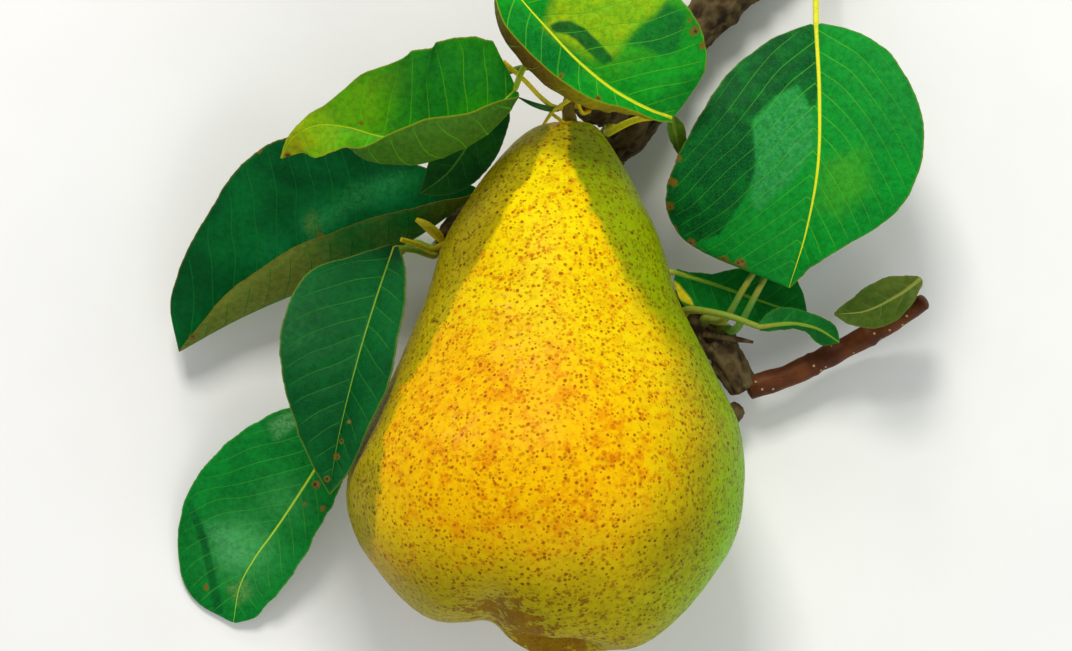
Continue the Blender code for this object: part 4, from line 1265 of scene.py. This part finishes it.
def stem_tube(stem, midrib, outward, rib_size):
    """A round petiole that runs on under the blade as its rib, as vertices, faces and runs."""
    places, shares = sampled(stem, PETIOLE_RING_STEP, 10)
    rows = [(p, along_values(PETIOLE_RADII, s), 0.0) for p, s in zip(places[:-1], shares)]
    places, shares = sampled(midrib, RIB_RING_STEP, 12)
    for place, share in zip(places[:-1], shares):
        radius = rib_size * along_values(MIDRIB_RADII, share)
        sink = clamp(share * 12.0) * (radius * 0.72 - BLADE_THICKNESS * 0.2)
        rows.append((place, radius, max(sink, 0.0)))
    ways = directions([row[0] for row in rows])
    ways[0] = outward
    side = carried(Vector((0.0, 1.0, 0.0) if abs(outward.x) > 0.9 else (1.0, 0.0, 0.0)), ways[0])
    verts, runs, run = [], [], 0.0
    before = rows[0][0]
    for (place, radius, sink), way in zip(rows, ways):
        side = carried(side, way)
        across = way.cross(side)
        run += (place - before).length / MM
        before = place
        middle = place - carried(UP, way) * sink * MM
        for n in range(PETIOLE_SIDES):
            verts.append(middle + spoke(side, across, n, PETIOLE_SIDES) * radius * MM)
            runs.append(run)
    return verts, closed_tube(len(rows), PETIOLE_SIDES), runs


def leaf_piece(name, leaf, look):
    """One leaf: its blade, and its petiole and rib, in one piece."""
    foot, outward = foot_on(*leaf["foot"])
    midrib = [point(place) for place in leaf["midrib"]]
    stem = [foot, foot + outward * PETIOLE_RISE * MM]
    stem += [point(place) for place in leaf["petiole"]] + midrib[:1]
    verts, faces, values, uvs = blade(name, leaf, look, midrib)
    stem_verts, stem_faces, runs = stem_tube(stem, midrib, outward, look.get("rib_size", RIB_SIZE))
    slots = [0] * len(faces) + [1] * len(stem_faces)
    first = len(verts)
    verts += stem_verts
    faces += [tuple(first + n for n in face) for face in stem_faces]
    for row in values.values():
        row += [0.0] * len(stem_verts)
    values["along"] = [FAR_FROM_FOOT] * first + runs
    uvs += [(0.02 * (n % PETIOLE_SIDES) / PETIOLE_SIDES, -run / 100.0) for n, run in enumerate(runs)]
    looks = [leaf_paint(name, look)]
    looks.append(stem_paint(name + "_stem", look["rib"], look.get("stem", look["rib"])))
    return make_piece(name + "_blade", verts, faces, looks, values, slots, uvs)


def small_stem(name, path, radii, material, slot):
    """A thin stem with flat ends."""
    places, shares = sampled([point(place) for place in path], 0.5)
    ways = directions(places)
    side = carried(Vector((0.1, 0.2, 1.0)), ways[0])
    verts = []
    for place, way, share in zip(places, ways, shares):
        side = carried(side, way)
        across = way.cross(side)
        radius = along_values(radii, share)
        for n in range(PETIOLE_SIDES):
            verts.append(place + spoke(side, across, n, PETIOLE_SIDES) * radius * MM)
    faces = closed_tube(len(places), PETIOLE_SIDES)
    values = {"along": [FAR_FROM_FOOT] * len(verts), "relief": [0.0] * len(verts)}
    return dress(make_piece(name, verts, faces, [material], values), slot)


def calyx_piece(material, lift):
    """Dried sepals round the flower's rest, in the basin at the blossom end."""
    along, _, aside = PEAR_OUTLINE[-1]
    middle = pear_place(along, 0.0, aside, 0.0) + lift
    outward = Vector((0.0, -math.cos(PEAR_TIP_UP), math.sin(PEAR_TIP_UP)))
    side = Vector((1.0, 0.0, 0.0))
    above = outward.cross(side)
    verts, faces = [], []
    wide, high = SEPAL_STEPS
    columns, rim = wide + 1, (wide + 1) * (high + 1)
    edge = [i * columns for i in range(high + 1)] + [high * columns + j for j in range(1, columns)]
    edge += [i * columns + wide for i in range(high - 1, -1, -1)] + list(range(wide - 1, 0, -1))
    for n in range(CALYX_SEPALS):
        away = spoke(side, above, n + 0.1 * math.sin(n * 5.0), CALYX_SEPALS)
        first = len(verts)
        for face_side in (1.0, -1.0):
            start = len(verts)
            for i in range(high + 1):
                s = i / high
                reach = 1.1 + (CALYX_RADIUS - 1.1) * s
                rise = 0.5 + 2.4 * s**0.7 + 0.5 * math.sin(3.0 * s + n)
                width = 1.5 * (1.0 - s) ** 0.7 + 0.12
                for j in range(columns):
                    w = 2.0 * j / wide - 1.0
                    cup = 0.5 * w * w * (1.0 - s)
                    place = middle + (away * (reach - cup) + outward * (rise + cup)) * MM
                    place += outward.cross(away) * w * width * MM
                    verts.append(place + (away + outward) * face_side * 0.07 * MM)
            for i in range(high):
                for j in range(wide):
                    a = start + i * columns + j
                    quad = (a, a + 1, a + columns + 1, a + columns)
                    faces.append(quad if face_side > 0 else quad[::-1])
        for a, b in zip(edge, edge[1:] + edge[:1]):
            faces.append((first + a, first + b, first + rim + b, first + rim + a))
    first = len(verts)
    for rise, reach in REST_RINGS:
        for n in range(REST_SIDES):
            ragged = 1.0 + 0.15 * math.sin(5.0 * TURN * n / REST_SIDES + rise)
            away = spoke(side, above, n, REST_SIDES) * reach * ragged
            verts.append(middle + (outward * rise + away) * MM)
    faces += closed_tube(len(REST_RINGS), REST_SIDES, first)
    return turned_out(make_piece("calyx_rest", verts, faces, [material]))


def cut_face(material):
    """The flat cut that closes the branch."""
    centre = point(CUT_CENTRE)
    way = (centre - point(BRANCH_PATH[1])).normalized()
    side = carried(UP, way)
    across = way.cross(side)
    sides, rows = CUT_SIDES, CUT_RINGS
    verts, reaches = [centre + way * 0.9 * MM], [0.0]
    for k in range(1, rows + 1):
        for n in range(sides):
            reach = BRANCH_RADII[0] * 0.97 * k / rows
            reach *= 1.0 + 0.03 * math.sin(3.0 * TURN * n / sides) * k / rows
            rise = 0.9 - 0.12 * (k / rows) ** 8
            verts.append(centre + (spoke(side, across, n, sides) * reach + way * rise) * MM)
            reaches.append(k / rows)
    verts += [vert - way * 1.2 * MM for vert in verts[-sides:]]
    reaches += [1.0] * sides
    faces = [(0, 1 + n, 1 + (n + 1) % sides) for n in range(sides)]
    faces += tube_faces(rows + 1, sides, 1)
    faces.append(tuple(1 + rows * sides + n for n in range(sides))[::-1])
    return dress(turned_out(make_piece("cut_wood", verts, faces, [material], {"spoke": reaches})), "bark")


# Each limb: its middle line and radii, then its sides, ring step, roughness, ring scars, and
# how far it runs on into its neighbours
LIMBS = {
    "branch": (BRANCH_PATH, BRANCH_RADII, 72, 0.42, 1.0, ((0.3, 0.5), (0.62, 0.4)), 0.0, 1.4),
    "right_limb": (
        RIGHT_LIMB_PATH, RIGHT_LIMB_RADII, 60, 0.42, 1.0, ((0.2, 0.4), (0.55, 0.4), (0.84, 0.5)), 1.2, 0.0
    ),
    "lower_stub": (LOWER_STUB_PATH, LOWER_STUB_RADII, 40, 0.3, 0.6, ((0.4, 0.3),), 1.6, 0.0),
    "left_spur": (
        LEFT_SPUR_PATH, LEFT_SPUR_RADII, 48, 0.32, 0.7, ((0.2, 0.35), (0.5, 0.45), (0.72, 0.4)), 1.6, 0.0
    ),
    "fruit_spur": (
        FRUIT_SPUR_PATH, FRUIT_SPUR_RADII, 60, 0.28, 0.8, ((0.3, 0.5), (0.5, 0.45), (0.72, 0.5)), 3.0, 0.0
    ),
    "right_shoot": (SHOOT_PATH, SHOOT_RADII, 40, 0.4, 0.12, ((0.3, 0.25), (0.64, 0.3)), 2.4, 0.0),
}

bark, young_bark = bark_paint(), shoot_paint()
for limb_name, limb in LIMBS.items():
    young = limb_name == "right_shoot"
    dressed = limb_piece(limb_name + "_bark", young_bark if young else bark, *limb)
    dress(dressed, "shoot_bark" if young else "bark", limb_name)
cut_face(wood_paint())

STEM_LOOKS = {
    "fresh": (stem_paint("fresh_stem", (238, 214, 20), (206, 196, 30)), "leaf"),
    "green": (stem_paint("green_strip", (10, 84, 26), (40, 104, 30)), "leaf"),
    "bud": (stem_paint("bud", (176, 72, 20), (196, 110, 30)), "bark"),
    "wood": (bark, "bark"),
}
# Each small stem: its look, its points and its radii
SMALL_STEMS = {
    "stem_over_spur": (
        "fresh",
        ((-6.6, 52.8, 38.0), (-2.4, 49.2, 36.0), (1.2, 45.6, 33.4), (4.2, 43.8, 30.6), (8.6, 44.6, 26.4)),
        (0.5, 0.5, 0.5, 0.6, 0.8),
    ),
    "stem_loop": (
        "fresh",
        ((1.4, 40.2, 33.4), (3.4, 43.0, 32.4), (6.2, 45.0, 31.8), (7.6, 45.8, 29.0), (9.0, 45.6, 25.6)),
        (0.3, 0.4, 0.45, 0.5, 0.7),
    ),
    "stem_short": (
        "fresh", ((7.4, 46.2, 30.6), (8.4, 44.6, 30.0), (9.4, 42.8, 28.6), (10.8, 43.6, 24.0)),
        (0.3, 0.42, 0.45, 0.7),
    ),
    "stem_yellow": (
        "fresh", ((-27.2, 17.4, 26.0), (-24.0, 16.4, 23.6), (-21.4, 15.4, 20.4), (-18.6, 16.6, 16.6)),
        (0.5, 0.6, 0.6, 0.8),
    ),
    "stem_patch": (
        "fresh", ((-24.4, 21.6, 19.6), (-22.4, 20.4, 19.4), (-20.6, 18.9, 18.2), (-19.0, 17.4, 16.0)),
        (0.5, 1.0, 1.1, 0.8),
    ),
    "stem_low": ("fresh", ((2.8, 42.8, 32.0), (4.2, 41.8, 33.0), (5.8, 40.6, 33.6)), (0.25, 0.4, 0.3)),
    "strip_by_stalk": (
        "green", ((-3.6, 45.8, 34.6), (-0.6, 44.4, 34.4), (2.2, 43.6, 33.0), (4.4, 43.4, 30.6)),
        (0.12, 0.5, 0.6, 0.4),
    ),
    "bud": (
        "bud", ((11.0, 44.2, 24.4), (10.6, 44.8, 26.6), (10.4, 45.4, 28.6), (10.2, 45.8, 30.2)),
        (0.8, 1.15, 0.95, 0.12),
    ),
    "twig_over_limb": (
        "wood", ((34.2, -1.9, 11.8), (37.4, -2.2, 12.6), (41.0, -2.8, 12.4), (44.4, -3.4, 11.6)),
        (0.5, 0.7, 0.62, 0.3),
    ),
}
for stem_name, (stem_look, stem_path, stem_radii) in SMALL_STEMS.items():
    small_stem(stem_name, stem_path, stem_radii, *STEM_LOOKS[stem_look])

stalk_look = dry_paint("stalk", (96, 74, 24), (128, 116, 40))
stalk = limb_piece(
    "pear_stalk_wood", stalk_look, STALK_PATH, STALK_RADII, 36, 0.25, 0.15, ((0.9, 0.3),), 0.8, 0.8
)
dress(stalk, "stalk", "pear_stalk")
fruit, pear_lift = pear_piece(pear_paint())
dress(fruit, "pear_skin", "pear")
calyx_look = dry_paint("calyx", (62, 42, 22), (104, 76, 40))
dress(calyx_piece(calyx_look, pear_lift), "calyx", "calyx")
for leaf_name, leaf_shape in LEAVES.items():
    dress(leaf_piece(leaf_name, leaf_shape, LEAF_LOOKS[leaf_name]), "leaf", leaf_name)

# Floor, camera and lights
bpy.ops.mesh.primitive_plane_add(size=FLOOR_SIZE)
floor = bpy.context.object
floor.name = "floor"
floor.data.materials.append(floor_paint())

camera_data = bpy.data.cameras.new("camera")
camera_data.sensor_width = SENSOR
view_width = PIXEL_AT_FOCUS * IMAGE_WIDTH
camera_data.lens = SENSOR * (CAMERA_HEIGHT - FOCUS_HEIGHT) / view_width
camera = bpy.data.objects.new("camera", camera_data)
camera.location = Vector((0.0, 0.0, CAMERA_HEIGHT)) - SHIFT
bpy.context.scene.collection.objects.link(camera)
bpy.context.scene.camera = camera


def soft_light(name, place, power, size, colour):
    """A square soft light that looks at the middle of the part."""
    data = bpy.data.lights.new(name, "AREA")
    data.energy = power
    data.size = size
    data.color = colour
    lamp = bpy.data.objects.new(name, data)
    lamp.location = Vector(place)
    lamp.rotation_euler = (-Vector(place)).to_track_quat("-Z", "Y").to_euler()
    bpy.context.scene.collection.objects.link(lamp)


soft_light("key", (-0.16, 0.86, 0.98), 11.0, 0.36, (1.0, 0.97, 0.91))
soft_light("low", (-0.1, 1.2, 0.62), 2.6, 0.3, (1.0, 0.98, 0.94))
soft_light("fill", (0.9, -0.5, 0.9), 3.2, 0.8, (0.98, 1.0, 0.96))
soft_light("front", (0.1, -1.0, 0.6), 2.2, 0.7, (1.0, 1.0, 0.97))
world = bpy.data.worlds.new("studio")
bpy.context.scene.world = world
world.use_nodes = True
world.node_tree.nodes["Background"].inputs["Color"].default_value = (0.95, 0.97, 1.0, 1.0)
world.node_tree.nodes["Background"].inputs["Strength"].default_value = WORLD_STRENGTH
bpy.context.scene.view_settings.view_transform = "Standard"
